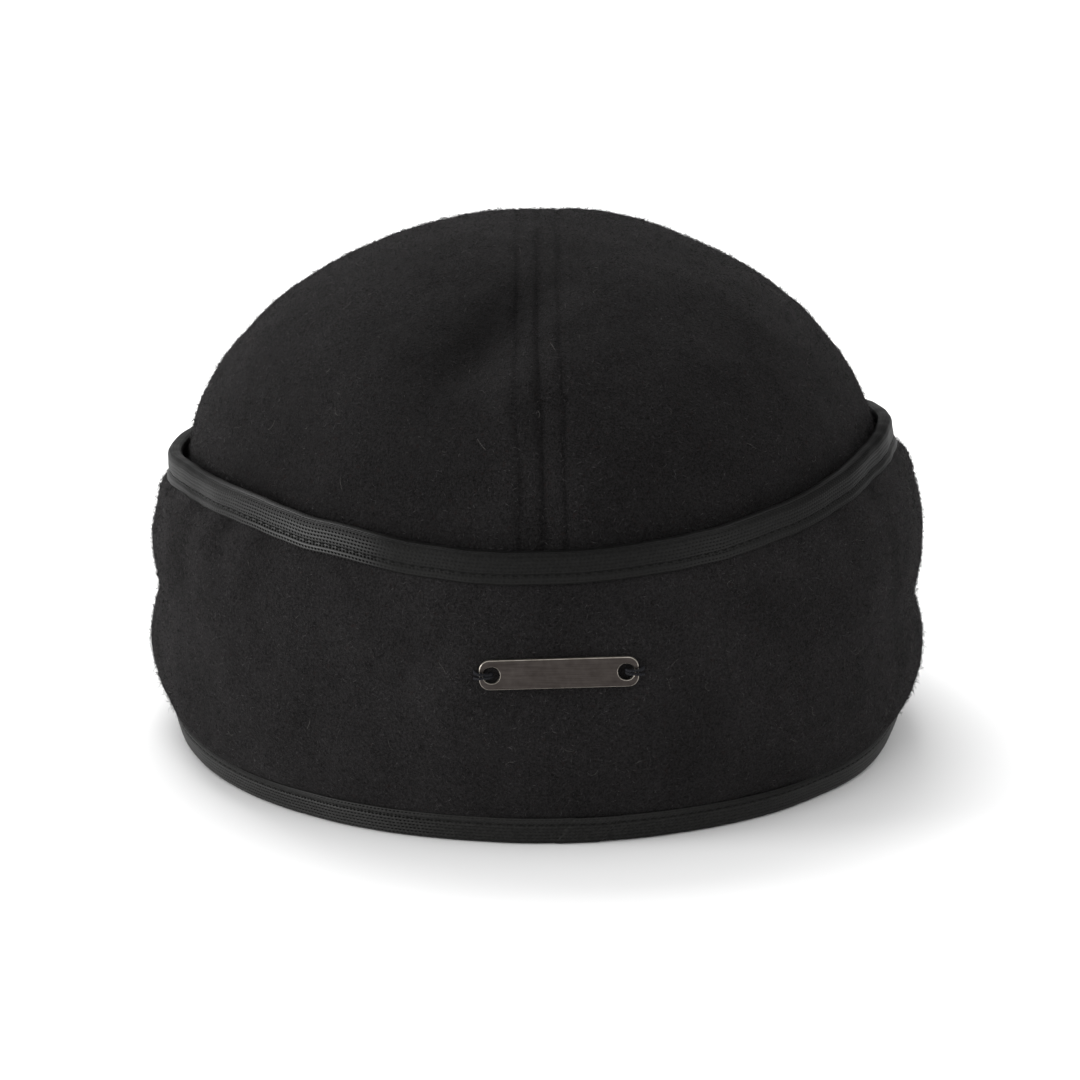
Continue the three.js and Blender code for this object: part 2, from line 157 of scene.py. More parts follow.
# Angle from the back to the wearer's left, height share, depth in mm, spreads along and up
BAND_FOLDS = np.array([
    [84, 0.46, 1.61, 26, 0.087], [-84, 0.42, 1.72, 24, 0.080],
    [66, 0.66, 0.88, 6, 0.15], [54, 0.62, -0.57, 6, 0.15],
    [-66, 0.61, 0.88, 6, 0.15], [-54, 0.62, -0.52, 6, 0.15],
    [84, 1.00, -1.82, 38, 0.14], [-84, 1.00, 1.82, 38, 0.14],
])
CROWN_DENTS = np.array([
    [20, 0.88, 1.65, 16, 0.10], [90, 0.61, -2.42, 38, 0.15],
    [62, 0.83, -0.99, 26, 0.10], [-62, 0.84, -1.10, 26, 0.10],
    [80, 0.95, 0.99, 45, 0.06], [-80, 0.96, 1.21, 45, 0.06],
])


def read_section(column, share):
    """A column of the table at a height share, by cubics whose slope in each row is the slope
    between the rows on its two sides."""
    heights, values = BAND_SECTIONS[:, 0], BAND_SECTIONS[:, column]
    last = len(heights) - 1
    at = np.clip(share, heights[0], heights[-1])
    i = np.clip(np.searchsorted(heights, at, side="right") - 1, 0, last - 1)
    low, high = np.maximum(np.arange(last + 1) - 1, 0), np.minimum(np.arange(last + 1) + 1, last)
    slope = (values[high] - values[low]) / (heights[high] - heights[low])
    span = heights[i + 1] - heights[i]
    u = (at - heights[i]) / span
    start = (1 + 2 * u) * (1 - u) ** 2 * values[i] + u * (1 - u) ** 2 * span * slope[i]
    end = u * u * (3 - 2 * u) * values[i + 1] - u * u * (1 - u) * span * slope[i + 1]
    return start + end


def fold_depth(table, angle, height):
    """Sum over the folds of depth times a bell along the band times a bell up it."""
    depth = 0.0
    for at, up, deep, along, spread in table:
        depth = depth + deep * bell(turn_between(at, angle), along) * bell(height - up, spread)
    return depth


# %% Edges and ovals of the ear band


def lower_edge(angle):
    """Height of the cap's lower edge: on the table round the back, lifted towards the front."""
    return FRONT_LIFT * smooth((np.abs(angle) - FLAT_ANGLE) / (180.0 - FLAT_ANGLE))


def upper_edge(angle):
    """Height of the band's upper edge: a bell's rise beside each ear, less a drop that grows
    towards the forehead with a power of half of one less the cosine."""
    at, rise, along = [np.where(angle > 0, *pair) for pair in zip(BAND_RISE_LEFT, BAND_RISE_RIGHT)]
    turn = np.radians(angle)
    beside = smooth(BAND_RISE_START * np.abs(np.sin(turn)))
    front = ((1 - np.cos(turn)) / 2) ** BAND_FRONT_SHARPNESS
    return BAND_HEIGHT + rise * beside * bell(np.abs(angle) - at, along) - BAND_FRONT_DROP * front


def band_share(angle, z):
    """Height in the band as a share of its own height there."""
    return (z - lower_edge(angle)) / (upper_edge(angle) - lower_edge(angle))


def band_oval(height):
    """Side, back and front reach of the band's outer face at a share of its height."""
    reaches = (BAND_HALF_WIDTH, BAND_BACK_REACH, BAND_FRONT_REACH)
    return [reach * read_section(k + 1, height) for k, reach in enumerate(reaches)]


def oval_point(oval, angle, z, inset):
    """A point of an oval, drawn inwards by inset: side times sine, reach times cosine."""
    turn = np.radians(angle)
    along = np.where(np.cos(turn) >= 0, oval[1], oval[2])
    return np.stack(np.broadcast_arrays(
        (oval[0] - inset) * np.sin(turn), (along - inset) * np.cos(turn), z), axis=-1)


SEAT_HALF_HEIGHT = LABEL_HEIGHT / 2 + LABEL_SEAT_MARGIN
SEAT_HALF_WIDTH = LABEL_LENGTH / 2 - HOLE_INSET
SEAT_PLANE = float(band_oval(LABEL_CENTRE_HEIGHT / BAND_HEIGHT)[1]) - LABEL_SEAT_DEPTH


def band_point(angle, z, inset):
    """A point in the band: the oval of its height, less its folds, pressed flat at the label."""
    height = band_share(angle, z)
    fold = fold_depth(BAND_FOLDS, angle, height)
    point = oval_point(band_oval(height), angle, z, inset + fold)
    beside = np.abs(point[..., 0] - LABEL_OFFSET) - SEAT_HALF_WIDTH
    over = np.abs(point[..., 2] - LABEL_CENTRE_HEIGHT) - SEAT_HALF_HEIGHT
    share = smooth(1 - beside / LABEL_SEAT_FADE) * smooth(1 - over / LABEL_SEAT_FADE)
    share = np.where(point[..., 1] > 0, share, 0.0)
    point[..., 1] += share * (SEAT_PLANE - inset - point[..., 1])
    return point


print("Label seat plane, mm behind the centre:", round(SEAT_PLANE, 2))

# %% [markdown]
# ## From a grid of points to a mesh
# A grid becomes a mesh by joining each point to its neighbours. Rows that run into one point,
# like the top of the crown, are closed by merging equal points, and a triangle that loses its
# area is dropped. The sign of the volume tells if the faces look outwards.

# %% Mesh helpers


def grid_quads(rows, columns, round_rows=False, round_columns=False):
    """Corner numbers of the quads of a grid, with its last row or column joined to the first."""
    r = np.arange(rows if round_rows else rows - 1)
    c = np.arange(columns if round_columns else columns - 1)
    r, c = [a.ravel() for a in np.meshgrid(r, c, indexing="ij")]
    r1, c1 = (r + 1) % rows, (c + 1) % columns
    return np.stack([r * columns + c, r1 * columns + c, r1 * columns + c1, r * columns + c1], 1)


def wall_quads(rows, columns, step):
    """Corner numbers for a closed wall: a fine outer grid of rows, then every step-th row of the
    inner grid in turned order, joined over both edges, and a strip of fans at each end. A fan's
    triangle is a quad whose last two corners are the same."""
    inner = (rows - 1) // step + 1
    total = rows + inner
    r, q = np.arange(rows - 1), np.arange(inner - 1)
    back = total - 1 - np.arange(inner)
    fans = np.stack([r, r + 1, back[r // step], back[r // step]], 1)
    joins = np.stack([(q + 1) * step, back[q + 1], back[q], back[q]], 1)
    end = np.concatenate([fans, joins]) * columns
    sides = [end, end[:, [1, 0, 2, 3]] + columns - 1]
    return np.concatenate([grid_quads(total, columns, round_rows=True), *sides])


def signed_volume(points, triangles):
    """Six times the volume that triangles enclose, by their corners' triple products."""
    a, b, c = (points[triangles[:, k]] for k in range(3))
    return (a * np.cross(b, c)).sum()


def make_piece(name, points, quads, materials, uv=None, sides=None, merge=True, shade=None):
    """A mesh object from points in millimetres round the ovals' centre. Each quad becomes two
    triangles. uv is a pair for each corner of each quad. sides holds a material number a quad.
    shade says for each point how much lighter or darker it is painted: painted light and shade, and
    random tone."""
    points = np.asarray(points, float).reshape(-1, 3)
    shade = None if shade is None else np.asarray(shade, float).ravel()
    split = np.array([[0, 1, 2], [0, 2, 3]])
    triangles = quads[:, split].reshape(-1, 3)
    corner_uv = None if uv is None else uv[:, split].reshape(-1, 3, 2)
    number = None if sides is None else np.repeat(sides, 2)
    if merge:
        keys = np.round(points * 2000).astype(np.int64)
        _, first, inverse = np.unique(keys, axis=0, return_index=True, return_inverse=True)
        points, triangles = points[first], inverse.reshape(-1)[triangles]
        shade = None if shade is None else shade[first]
    a, b, c = triangles.T
    whole = (a != b) & (b != c) & (c != a)
    triangles = triangles[whole]
    corner_uv = None if uv is None else corner_uv[whole]
    number = None if sides is None else number[whole]
    if signed_volume(points, triangles) < 0:
        triangles = triangles[:, ::-1]
        corner_uv = None if uv is None else corner_uv[:, ::-1]
    mesh = bpy.data.meshes.new(name)
    mesh.vertices.add(len(points))
    mesh.vertices.foreach_set("co", ((points + CENTRE) / METRE).ravel())
    mesh.loops.add(triangles.size)
    mesh.loops.foreach_set("vertex_index", triangles.ravel().astype(np.int32))
    mesh.polygons.add(len(triangles))
    mesh.polygons.foreach_set("loop_start", np.arange(0, triangles.size, 3, dtype=np.int32))
    mesh.polygons.foreach_set("use_smooth", np.ones(len(triangles), bool))
    for material in materials:
        mesh.materials.append(material)
    if number is not None:
        mesh.polygons.foreach_set("material_index", number.astype(np.int32))
    if uv is not None:
        layer = mesh.uv_layers.new(name="cloth")
        layer.data.foreach_set("uv", corner_uv.astype(np.float32).ravel())
    if shade is not None:
        layer = mesh.attributes.new("shade", "FLOAT", "POINT")
        layer.data.foreach_set("value", shade.astype(np.float32))
    mesh.update(calc_edges=True)
    mesh.validate()
    piece = bpy.data.objects.new(name, mesh)
    bpy.context.scene.collection.objects.link(piece)
    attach(piece, BODY)
    print(name, len(mesh.polygons), "triangles")
    return piece


def grid_normals(points, outward):
    """Unit normals of a grid from the slopes of its rows and columns, turned to outward."""
    normal = np.cross(np.gradient(points, axis=0), np.gradient(points, axis=1))
    normal /= np.maximum(np.linalg.norm(normal, axis=-1, keepdims=True), 1e-9)
    facing = np.sign((normal * outward).sum(-1, keepdims=True))
    return normal * np.where(facing == 0, 1, facing)


# %% [markdown]
# ## Tubes: stitches, threads and lint
# A stitch is a short, fat piece of thread that dives into the cloth at both ends. Hundreds of
# them are one mesh: all their paths are an array, and one ring of points is carried along them.

# %% A bundle of tubes along paths of equal length


def tube_bundle(paths, ups, radius, sides):
    """Points and quads of closed tubes. At each step of a path the ring lies in the plane of
    up and of the side that is square to up and to the path. The ends close in one point."""
    count, steps = paths.shape[:2]
    along = np.gradient(paths, axis=1)
    side = np.cross(along, ups)
    side /= np.maximum(np.linalg.norm(side, axis=-1, keepdims=True), 1e-9)
    over = np.cross(side, along)
    over /= np.maximum(np.linalg.norm(over, axis=-1, keepdims=True), 1e-9)
    turn = np.arange(sides) * 2 * np.pi / sides
    radius = np.broadcast_to(radius, (count, steps))[..., None, None]
    ring = side[:, :, None] * np.cos(turn)[:, None] + over[:, :, None] * np.sin(turn)[:, None]
    tubes = paths[:, :, None] + radius * ring
    ends = [np.repeat(paths[:, k, None, None], sides, axis=2) for k in (0, -1)]
    tubes = np.concatenate([ends[0], tubes, ends[1]], axis=1)
    one = grid_quads(steps + 2, sides, round_columns=True)
    shift = np.arange(count)[:, None, None] * (steps + 2) * sides
    return tubes.reshape(-1, 3), (one[None] + shift).reshape(-1, 4)


def walk_line(line, normals, pitch, length, sink, steps=5):
    """Paths of stitches along a line: each starts a pitch after the last, is length long, and
    its two ends sink into the cloth along the normal, by sink times the square of the share."""
    far = np.concatenate([[0.0], np.cumsum(np.linalg.norm(np.diff(line, axis=0), axis=1))])
    starts = np.arange(pitch * 0.2, far[-1] - length, pitch)
    share = np.linspace(-1, 1, steps)
    at = starts[:, None] + length * (share + 1) / 2
    paths = np.stack([np.interp(at, far, line[:, k]) for k in range(3)], -1)
    ups = np.stack([np.interp(at, far, normals[:, k]) for k in range(3)], -1)
    return paths - ups * (sink * share**2)[None, :, None], ups


# %% [markdown]
# ## Effects that several materials share
# Melton is woven wool that is felted until the weave is hidden. Close up it is a mat of fibres in
# all directions, with lighter and rusty hairs mixed in. The mat is a node group: three layers of
# noise, each pulled long another way, where a thin line is drawn wherever the noise crosses its
# middle value. Crown, band, peak and nap all use it, each with its own strength.

# %% Helpers that keep node code short


def add_node(tree, kind, settings=None, **inputs):
    """A node with its settings and inputs; an input is a value or another node's output."""
    node = tree.nodes.new(kind)
    for key, value in (settings or {}).items():
        setattr(node, key, value)
    for key, value in inputs.items():
        numbered = key[0] == "i" and key[1:].isdigit()
        socket = node.inputs[int(key[1:]) if numbered else key.replace("_", " ")]
        if isinstance(value, bpy.types.NodeSocket):
            tree.links.new(value, socket)
        else:
            socket.default_value = value
    return node


def math_node(tree, operation, *values):
    """The output of a Math node for values or sockets."""
    inputs = {f"i{k}": value for k, value in enumerate(values)}
    return add_node(tree, "ShaderNodeMath", {"operation": operation}, **inputs).outputs[0]


def new_group(name, inputs, outputs):
    """An empty node group with float inputs, and outputs given as (name, socket type)."""
    tree = bpy.data.node_groups.new(name, "ShaderNodeTree")
    for label, value in inputs:
        socket = tree.interface.new_socket(label, in_out="INPUT", socket_type="NodeSocketFloat")
        socket.default_value = value
    for label, kind in outputs:
        tree.interface.new_socket(label, in_out="OUTPUT", socket_type=kind)
    return tree, tree.nodes.new("NodeGroupInput"), tree.nodes.new("NodeGroupOutput")


def remap(tree, value, low, high, to_low=0.0, to_high=1.0):
    """The output of a smooth Map Range node."""
    node = add_node(tree, "ShaderNodeMapRange", {"interpolation_type": "SMOOTHSTEP"})
    tree.links.new(value, node.inputs["Value"])
    for label, number in (("From Min", low), ("From Max", high), ("To Min", to_low),
                          ("To Max", to_high)):
        node.inputs[label].default_value = number
    return node.outputs[0]


# %% The mat of wool fibres
FLOAT = "NodeSocketFloat"
mat_tree, mat_in, mat_out = new_group(
    "wool_mat", [("Fibre Scale", 1700.0), ("Grain Scale", 1900.0)],
    [("Fibres", FLOAT), ("Grain", FLOAT), ("Patches", FLOAT)])
place = add_node(mat_tree, "ShaderNodeTexCoord").outputs["Object"]
FIBRE_TURNS = ((0.3, 0.2, 0.4), (1.3, 0.7, 1.9), (0.5, 1.9, 2.9))
strands = []
for layer, turn in enumerate(FIBRE_TURNS):
    pulled = add_node(mat_tree, "ShaderNodeMapping", Vector=place, Rotation=turn,
                      Scale=(1.0, 0.22, 1.0), Location=(0.1 * layer, 0.0, 0.0))
    noise = add_node(mat_tree, "ShaderNodeTexNoise", Vector=pulled.outputs[0],
                     Scale=mat_in.outputs["Fibre Scale"], Detail=1.0, Distortion=0.4)
    off = math_node(mat_tree, "ABSOLUTE", math_node(mat_tree, "SUBTRACT", noise.outputs[0], 0.56))
    strands.append(remap(mat_tree, off, 0.0, 0.04, 1.0, 0.0))
both = math_node(mat_tree, "MAXIMUM", strands[0], strands[1])
mat_tree.links.new(math_node(mat_tree, "MAXIMUM", both, strands[2]), mat_out.inputs["Fibres"])
grain = add_node(mat_tree, "ShaderNodeTexNoise", Vector=place,
                 Scale=mat_in.outputs["Grain Scale"], Detail=3.0, Roughness=0.7)
mat_tree.links.new(grain.outputs[0], mat_out.inputs["Grain"])
patches = add_node(mat_tree, "ShaderNodeTexNoise", Vector=place, Scale=70.0, Detail=4.0,
                   Roughness=0.6)
mat_tree.links.new(patches.outputs[0], mat_out.inputs["Patches"])
print("Node group:", mat_tree.name)

# %% [markdown]
# ## The finishes
# The wool is nearly black, a little warm, and quite matt. What shows is its grain: dark hollows
# between lighter hairs, and broad soft patches of lighter and darker nap. So two near blacks are
# mixed by the mat of fibres, each piece carries in its "shade" attribute its painted light and
# shade with some random tone, and sheen is kept very low.

# %% Wool


def new_material(name):
    """A material with its node tree, its Principled shader and the texture coordinates."""
    material = bpy.data.materials.new(name)
    material.use_nodes = True
    tree = material.node_tree
    return material, tree, tree.nodes["Principled BSDF"]


def mix_colour(tree, factor, first, second):
    """The output of a Mix node for colours; factor and colours are values or sockets."""
    node = add_node(tree, "ShaderNodeMix", {"data_type": "RGBA"})
    for index, value in ((0, factor), (6, first), (7, second)):
        if isinstance(value, bpy.types.NodeSocket):
            tree.links.new(value, node.inputs[index])
        else:
            node.inputs[index].default_value = value
    return node.outputs[2]


RUST = (0.026, 0.013, 0.011, 1)
SHEEN_TINT = (0.62, 0.58, 0.58, 1)


def wool_material(name, dark, light, hair, sheen, relief):
    """Felted wool: the dark and the light colour mixed by grain and patches, hairs drawn over
    them, rare rusty flecks, all scaled by the painted light and shade of the 'shade' attribute, and
    a bump from the mat of fibres."""
    material, tree, shader = new_material(name)
    mat = add_node(tree, "ShaderNodeGroup", {"node_tree": mat_tree})
    blend = math_node(tree, "ADD", remap(tree, mat.outputs["Grain"], 0.36, 0.66, 0.0, 0.8),
                      remap(tree, mat.outputs["Patches"], 0.35, 0.65, 0.0, 0.2))
    ground = mix_colour(tree, blend, (*dark, 1), (*light, 1))
    strands = math_node(tree, "MULTIPLY", mat.outputs["Fibres"], 0.35)
    haired = mix_colour(tree, strands, ground, (*hair, 1))
    place = add_node(tree, "ShaderNodeTexCoord").outputs["Object"]
    flecks = add_node(tree, "ShaderNodeTexNoise", Vector=place, Scale=900.0, Detail=0.0)
    rust = remap(tree, flecks.outputs[0], 0.74, 0.80, 0.0, 0.25)
    coloured = mix_colour(tree, rust, haired, RUST)
    # The 'shade' attribute holds painted light and shade with random tone, and scales the colour
    shade_and_tone = add_node(tree, "ShaderNodeAttribute", {"attribute_name": "shade"}).outputs["Fac"]
    shaded = add_node(tree, "ShaderNodeVectorMath", {"operation": "SCALE"}, i0=coloured,
                      Scale=math_node(tree, "ADD", shade_and_tone, 1.0))
    tree.links.new(shaded.outputs[0], shader.inputs["Base Color"])
    height = math_node(tree, "MULTIPLY_ADD", mat.outputs["Fibres"], 0.25, mat.outputs["Grain"])
    bump = add_node(tree, "ShaderNodeBump", Height=height, Strength=relief, Distance=0.0018)
    tree.links.new(bump.outputs[0], shader.inputs["Normal"])
    shader.inputs["Roughness"].default_value = 0.95
    shader.inputs["Specular IOR Level"].default_value = 0.05
    shader.inputs["Sheen Weight"].default_value = sheen
    shader.inputs["Sheen Roughness"].default_value = 0.4
    shader.inputs["Sheen Tint"].default_value = SHEEN_TINT
    return material


WOOL_DARK, WOOL_LIGHT = (0.0076, 0.0071, 0.0073), (0.0300, 0.0279, 0.0288)
NAP_DARK, NAP_LIGHT = (0.016, 0.0149, 0.0153), (0.038, 0.0354, 0.0364)
WOOL_HAIR, NAP_HAIR, WOOL_RELIEF = (0.047,) * 3, (0.052,) * 3, 0.9
CROWN_PAINTED_SHADE = 0.80  # painted shade: the crown is painted that much darker than the band, though both are one wool
CROWN_DARK, CROWN_LIGHT = [tuple(CROWN_PAINTED_SHADE * c for c in tone) for tone in (WOOL_DARK, WOOL_LIGHT)]
wool_crown = wool_material("wool_crown", CROWN_DARK, CROWN_LIGHT, WOOL_HAIR, 0.015, WOOL_RELIEF)
wool_band = wool_material("wool_band", WOOL_DARK, WOOL_LIGHT, WOOL_HAIR, 0.02, WOOL_RELIEF)
wool_peak = wool_material("wool_peak", WOOL_DARK, WOOL_LIGHT, WOOL_HAIR, 0.02, WOOL_RELIEF)
wool_nap = wool_material("wool_nap", NAP_DARK, NAP_LIGHT, NAP_HAIR, 0.01, 0.0)

# %% Woven tape
# The tape's ribs run along it, and between two ribs the weave leaves a row of short dark gaps, set
# like bricks and a little slanted. Beyond the groove of the stitches the selvage is knitted more
# loosely, so its rows are wider. The tape's own map carries the pattern: u is the way along it and
# v the way down from its fold, in millimetres.
RIB_PITCH, DASH_PITCH, GROOVE, LIP_START, LIP_PITCH = 0.8, 0.95, 4.95, 5.45, 0.95
weave_tree, weave_in, weave_out = new_group(
    "woven_ribs", [("Rib Pitch", RIB_PITCH), ("Dash Pitch", DASH_PITCH), ("Lip Start", LIP_START),
                   ("Lip Pitch", LIP_PITCH)],
    [("Height", FLOAT), ("Gaps", FLOAT), ("Lip", FLOAT)])
uv = add_node(weave_tree, "ShaderNodeUVMap", {"uv_map": "cloth"})
parts = add_node(weave_tree, "ShaderNodeSeparateXYZ", Vector=uv.outputs[0])
u, v = parts.outputs["X"], parts.outputs["Y"]
beyond = math_node(weave_tree, "SUBTRACT", v, weave_in.outputs["Lip Start"])
in_lip = math_node(weave_tree, "GREATER_THAN", beyond, -0.3)
face_rib = math_node(weave_tree, "DIVIDE", v, weave_in.outputs["Rib Pitch"])
lip_rib = math_node(weave_tree, "DIVIDE", beyond, weave_in.outputs["Lip Pitch"])
change = math_node(weave_tree, "SUBTRACT", lip_rib, face_rib)
rib = math_node(weave_tree, "MULTIPLY_ADD", change, in_lip, face_rib)
dash = math_node(weave_tree, "DIVIDE", u, weave_in.outputs["Dash Pitch"])
row = math_node(weave_tree, "FLOOR", math_node(weave_tree, "ADD", rib, 0.5))
set_off = math_node(weave_tree, "MULTIPLY_ADD", row, 0.5, dash)
slanted = math_node(weave_tree, "MULTIPLY_ADD", rib, 0.30, set_off)
across = math_node(weave_tree, "PINGPONG", rib, 0.5)
along = math_node(weave_tree, "PINGPONG", slanted, 0.5)
hollow = remap(weave_tree, across, 0.08, 0.31, 1.0, 0.0)
bead = remap(weave_tree, along, 0.12, 0.34, 0.15, 1.0)
gaps = math_node(weave_tree, "MULTIPLY", hollow, bead)
weave_tree.links.new(gaps, weave_out.inputs["Gaps"])
weave_tree.links.new(math_node(weave_tree, "SUBTRACT", 1.0, gaps), weave_out.inputs["Height"])
weave_tree.links.new(in_lip, weave_out.inputs["Lip"])


def tape_material(name, dark, light, closed, opened):
    """Woven tape: ribs with dark gaps between them, uneven in tone from yarn to yarn, a little
    lighter in the loose selvage, with a low gloss and a bump that sinks the gaps. Where its
    'shade' attribute paints light the tape is lighter and glossier, a painted highlight, and its
    gaps open: closed and opened are the scales between which they do."""
    material, tree, shader = new_material(name)
    weave = add_node(tree, "ShaderNodeGroup", {"node_tree": weave_tree})
    place = add_node(tree, "ShaderNodeTexCoord").outputs["Object"]
    uneven = add_node(tree, "ShaderNodeTexNoise", Vector=place, Scale=1500.0, Detail=2.0)
    tone = remap(tree, uneven.outputs[0], 0.3, 0.7, 0.5, 1.0)
    lifted = math_node(tree, "MULTIPLY_ADD", weave.outputs["Lip"], 0.2, tone)
    # The 'shade' attribute holds painted light and shade, which also scales the gloss and opens the
    # gaps
    shade_and_tone = add_node(tree, "ShaderNodeAttribute", {"attribute_name": "shade"}).outputs["Fac"]
    scale = math_node(tree, "ADD", shade_and_tone, 1.0)
    openness = remap(tree, scale, closed, opened, 0.25, 1.0)
    gaps = math_node(tree, "MULTIPLY", weave.outputs["Gaps"], openness)
    solid = math_node(tree, "SUBTRACT", 1.0, gaps)
    factor = math_node(tree, "MULTIPLY", solid, lifted)
    shaded = add_node(tree, "ShaderNodeVectorMath", {"operation": "SCALE"}, Scale=scale,
                      i0=mix_colour(tree, factor, (*dark, 1), (*light, 1)))
    tree.links.new(shaded.outputs[0], shader.inputs["Base Color"])
    # Painted highlight: the gloss grows with the square of the painted light
    painted_gloss = math_node(tree, "MULTIPLY", math_node(tree, "MULTIPLY", scale, scale), TAPE_GLOSS)
    gloss = math_node(tree, "MULTIPLY", solid, painted_gloss)
    tree.links.new(gloss, shader.inputs["Specular IOR Level"])
    bump = add_node(tree, "ShaderNodeBump", Height=solid, Strength=0.8, Distance=0.00025)
    tree.links.new(bump.outputs[0], shader.inputs["Normal"])
    shader.inputs["Roughness"].default_value = 0.42
    return material


TAPE_GLOSS = 0.15
TOP_GAP, TOP_YARN = (0.0020, 0.0020, 0.0019), (0.0120, 0.0118, 0.0114)
LOW_GAP, LOW_YARN = (0.0028, 0.0028, 0.0027), (0.0265, 0.0261, 0.0252)
tape_top = tape_material("tape_top", TOP_GAP, TOP_YARN, 0.72, 1.15)
tape_low = tape_material("tape_low", LOW_GAP, LOW_YARN, 0.62, 0.95)

# %% Metal and thread
# The label is antique nickel: brushed along its length, darkened in its face, and rubbed bright
# where hands and cloth touch it, along its edges and round its holes.
brush_tree, brush_in, brush_out = new_group(
    "brushed_lines", [("Line Scale", 5200.0)], [("Lines", FLOAT), ("Stains", FLOAT)])
place = add_node(brush_tree, "ShaderNodeTexCoord").outputs["Object"]
pulled = add_node(brush_tree, "ShaderNodeMapping", Vector=place, Scale=(0.02, 1.0, 1.0))
lines = add_node(brush_tree, "ShaderNodeTexNoise", Vector=pulled.outputs[0],
                 Scale=brush_in.outputs["Line Scale"], Detail=3.0)
stains = add_node(brush_tree, "ShaderNodeTexNoise", Vector=place, Scale=420.0, Detail=4.0,
                  Roughness=0.65)
brush_tree.links.new(lines.outputs[0], brush_out.inputs["Lines"])
brush_tree.links.new(stains.outputs[0], brush_out.inputs["Stains"])


def nickel_material(name, dark, light, rough):
    """Brushed nickel: two tones mixed by brushing and stains, which also set the roughness."""
    material, tree, shader = new_material(name)
    brush = add_node(tree, "ShaderNodeGroup", {"node_tree": brush_tree})
    both = math_node(tree, "ADD", math_node(tree, "MULTIPLY", brush.outputs["Lines"], 0.5),
                     math_node(tree, "MULTIPLY", brush.outputs["Stains"], 0.5))
    tone = remap(tree, both, 0.25, 0.75)
    tree.links.new(mix_colour(tree, tone, (*dark, 1), (*light, 1)), shader.inputs["Base Color"])
    tree.links.new(remap(tree, both, 0.3, 0.7, rough + 0.1, rough - 0.08),
                   shader.inputs["Roughness"])
    bump = add_node(tree, "ShaderNodeBump", Height=brush.outputs["Lines"], Strength=0.15,
                    Distance=0.0001)
    tree.links.new(bump.outputs[0], shader.inputs["Normal"])
    shader.inputs["Metallic"].default_value = 1.0
    return material


nickel_face = nickel_material("nickel_face", (0.034, 0.0285, 0.026), (0.060, 0.052, 0.048), 0.42)
nickel_edge = nickel_material("nickel_edge", (0.20, 0.18, 0.155), (0.50, 0.46, 0.41), 0.34)


def plain_yarn(name, colour, rough, gloss):
    """Thread: one dark colour made uneven by noise, so that its plies show."""
    material, tree, shader = new_material(name)
    place = add_node(tree, "ShaderNodeTexCoord").outputs["Object"]
    noise = add_node(tree, "ShaderNodeTexNoise", Vector=place, Scale=2500.0, Detail=2.0)
    tone = remap(tree, noise.outputs[0], 0.35, 0.65)
    dark = tuple(0.5 * value for value in colour)
    tree.links.new(mix_colour(tree, tone, (*dark, 1), (*colour, 1)), shader.inputs["Base Color"])
    shader.inputs["Roughness"].default_value = rough
    shader.inputs["Specular IOR Level"].default_value = gloss
    return material


label_yarn = plain_yarn("label_yarn", (0.011, 0.0115, 0.0145), 0.5, 0.15)
seam_yarn = plain_yarn("seam_yarn", (0.0065, 0.006, 0.0062), 0.9, 0.02)
tape_yarn = plain_yarn("tape_yarn", (0.009, 0.009, 0.0085), 0.8, 0.05)
lint_yarn = plain_yarn("lint_yarn", (0.11, 0.105, 0.10), 0.8, 0.1)
print("Materials:", [material.name for material in bpy.data.materials])

# %% [markdown]
# ## The crown
# Four panels meet in a seam up the back, one up the front and one over each ear, all running to
# the top. A panel is a grid whose columns stand close beside its two seams, where the cloth is
# sewn down and puffs up between the seam and its topstitching, and wide apart between them.

# %% The crown's ovals
LOOP = np.arange(-180.0, 180.0, 6.0)
DOME = CROWN_HEIGHT - SHOULDER


def crown_reach(column, angle):
    """How far the shoulder may reach, so that the dome keeps clear of the upper tape."""
    fold = fold_depth(BAND_FOLDS, angle, 1.0)
    room = band_oval(np.ones(1))[column] - fold - BAND_CLOTH - 2 * GAP - TAPE_CLOTH
    left = np.sqrt(1 - ((upper_edge(angle) - SHOULDER).clip(0) / DOME) ** 2)
    return ((room - CROWN_SLACK[column]) / left).min()


CROWN_OVAL = [
    crown_reach(0, LOOP),
    crown_reach(1, LOOP[np.abs(LOOP) < 90]),
    crown_reach(2, LOOP[np.abs(LOOP) > 90]),
]
print("Crown's side, back and front reach, mm:", np.round(CROWN_OVAL, 2))


def crown_wall_oval(z, angle):
    """Lines the band at the lower edge and turns into the shoulder's oval halfway up."""
    above = z - lower_edge(angle)
    own = smooth((above - LOW_TAPE) / (SHOULDER / 2 - LOW_TAPE))
    return [own * CROWN_OVAL[k] + (1 - own) * (reach - BAND_CLOTH - GAP)
            for k, reach in enumerate(band_oval(band_share(angle, z)))]


# %% A crown panel's surface
STITCH_LINE, SEAM_DRIFT = 5.1, 1.6
LIE_WAVES = 0.045  # how unevenly the nap lies, as a share of the cloth's colour
WALL_ROWS, DOME_ROWS, MIDDLE_COLUMNS, INSIDE_STEP = 12, 150, 34, 6
BESIDE_SEAM = np.array([0, 0.2, 0.4, 0.65, 0.95, 1.3, 1.7, 2.2, 2.7, 3.2, 3.7, 4.1, 4.45, 4.7,
                        4.9, 5.1, 5.3, 5.5, 5.75, 6.1, 6.6, 7.3, 8.2, 9.3])


def seam_relief(distance):
    """Height of the cloth beside a topstitched seam: a valley at the seam, a puffed strip, the
    groove that the stitching pulls in, and a low swell beyond it."""
    valley = -0.46 * bell(distance, 0.65)
    puff = 0.20 * bell(distance - 2.6, 1.7)
    groove = -0.32 * bell(distance - STITCH_LINE, 0.60)
    swell = 0.10 * bell(distance - 7.6, 1.9)
    return valley + puff + groove + swell


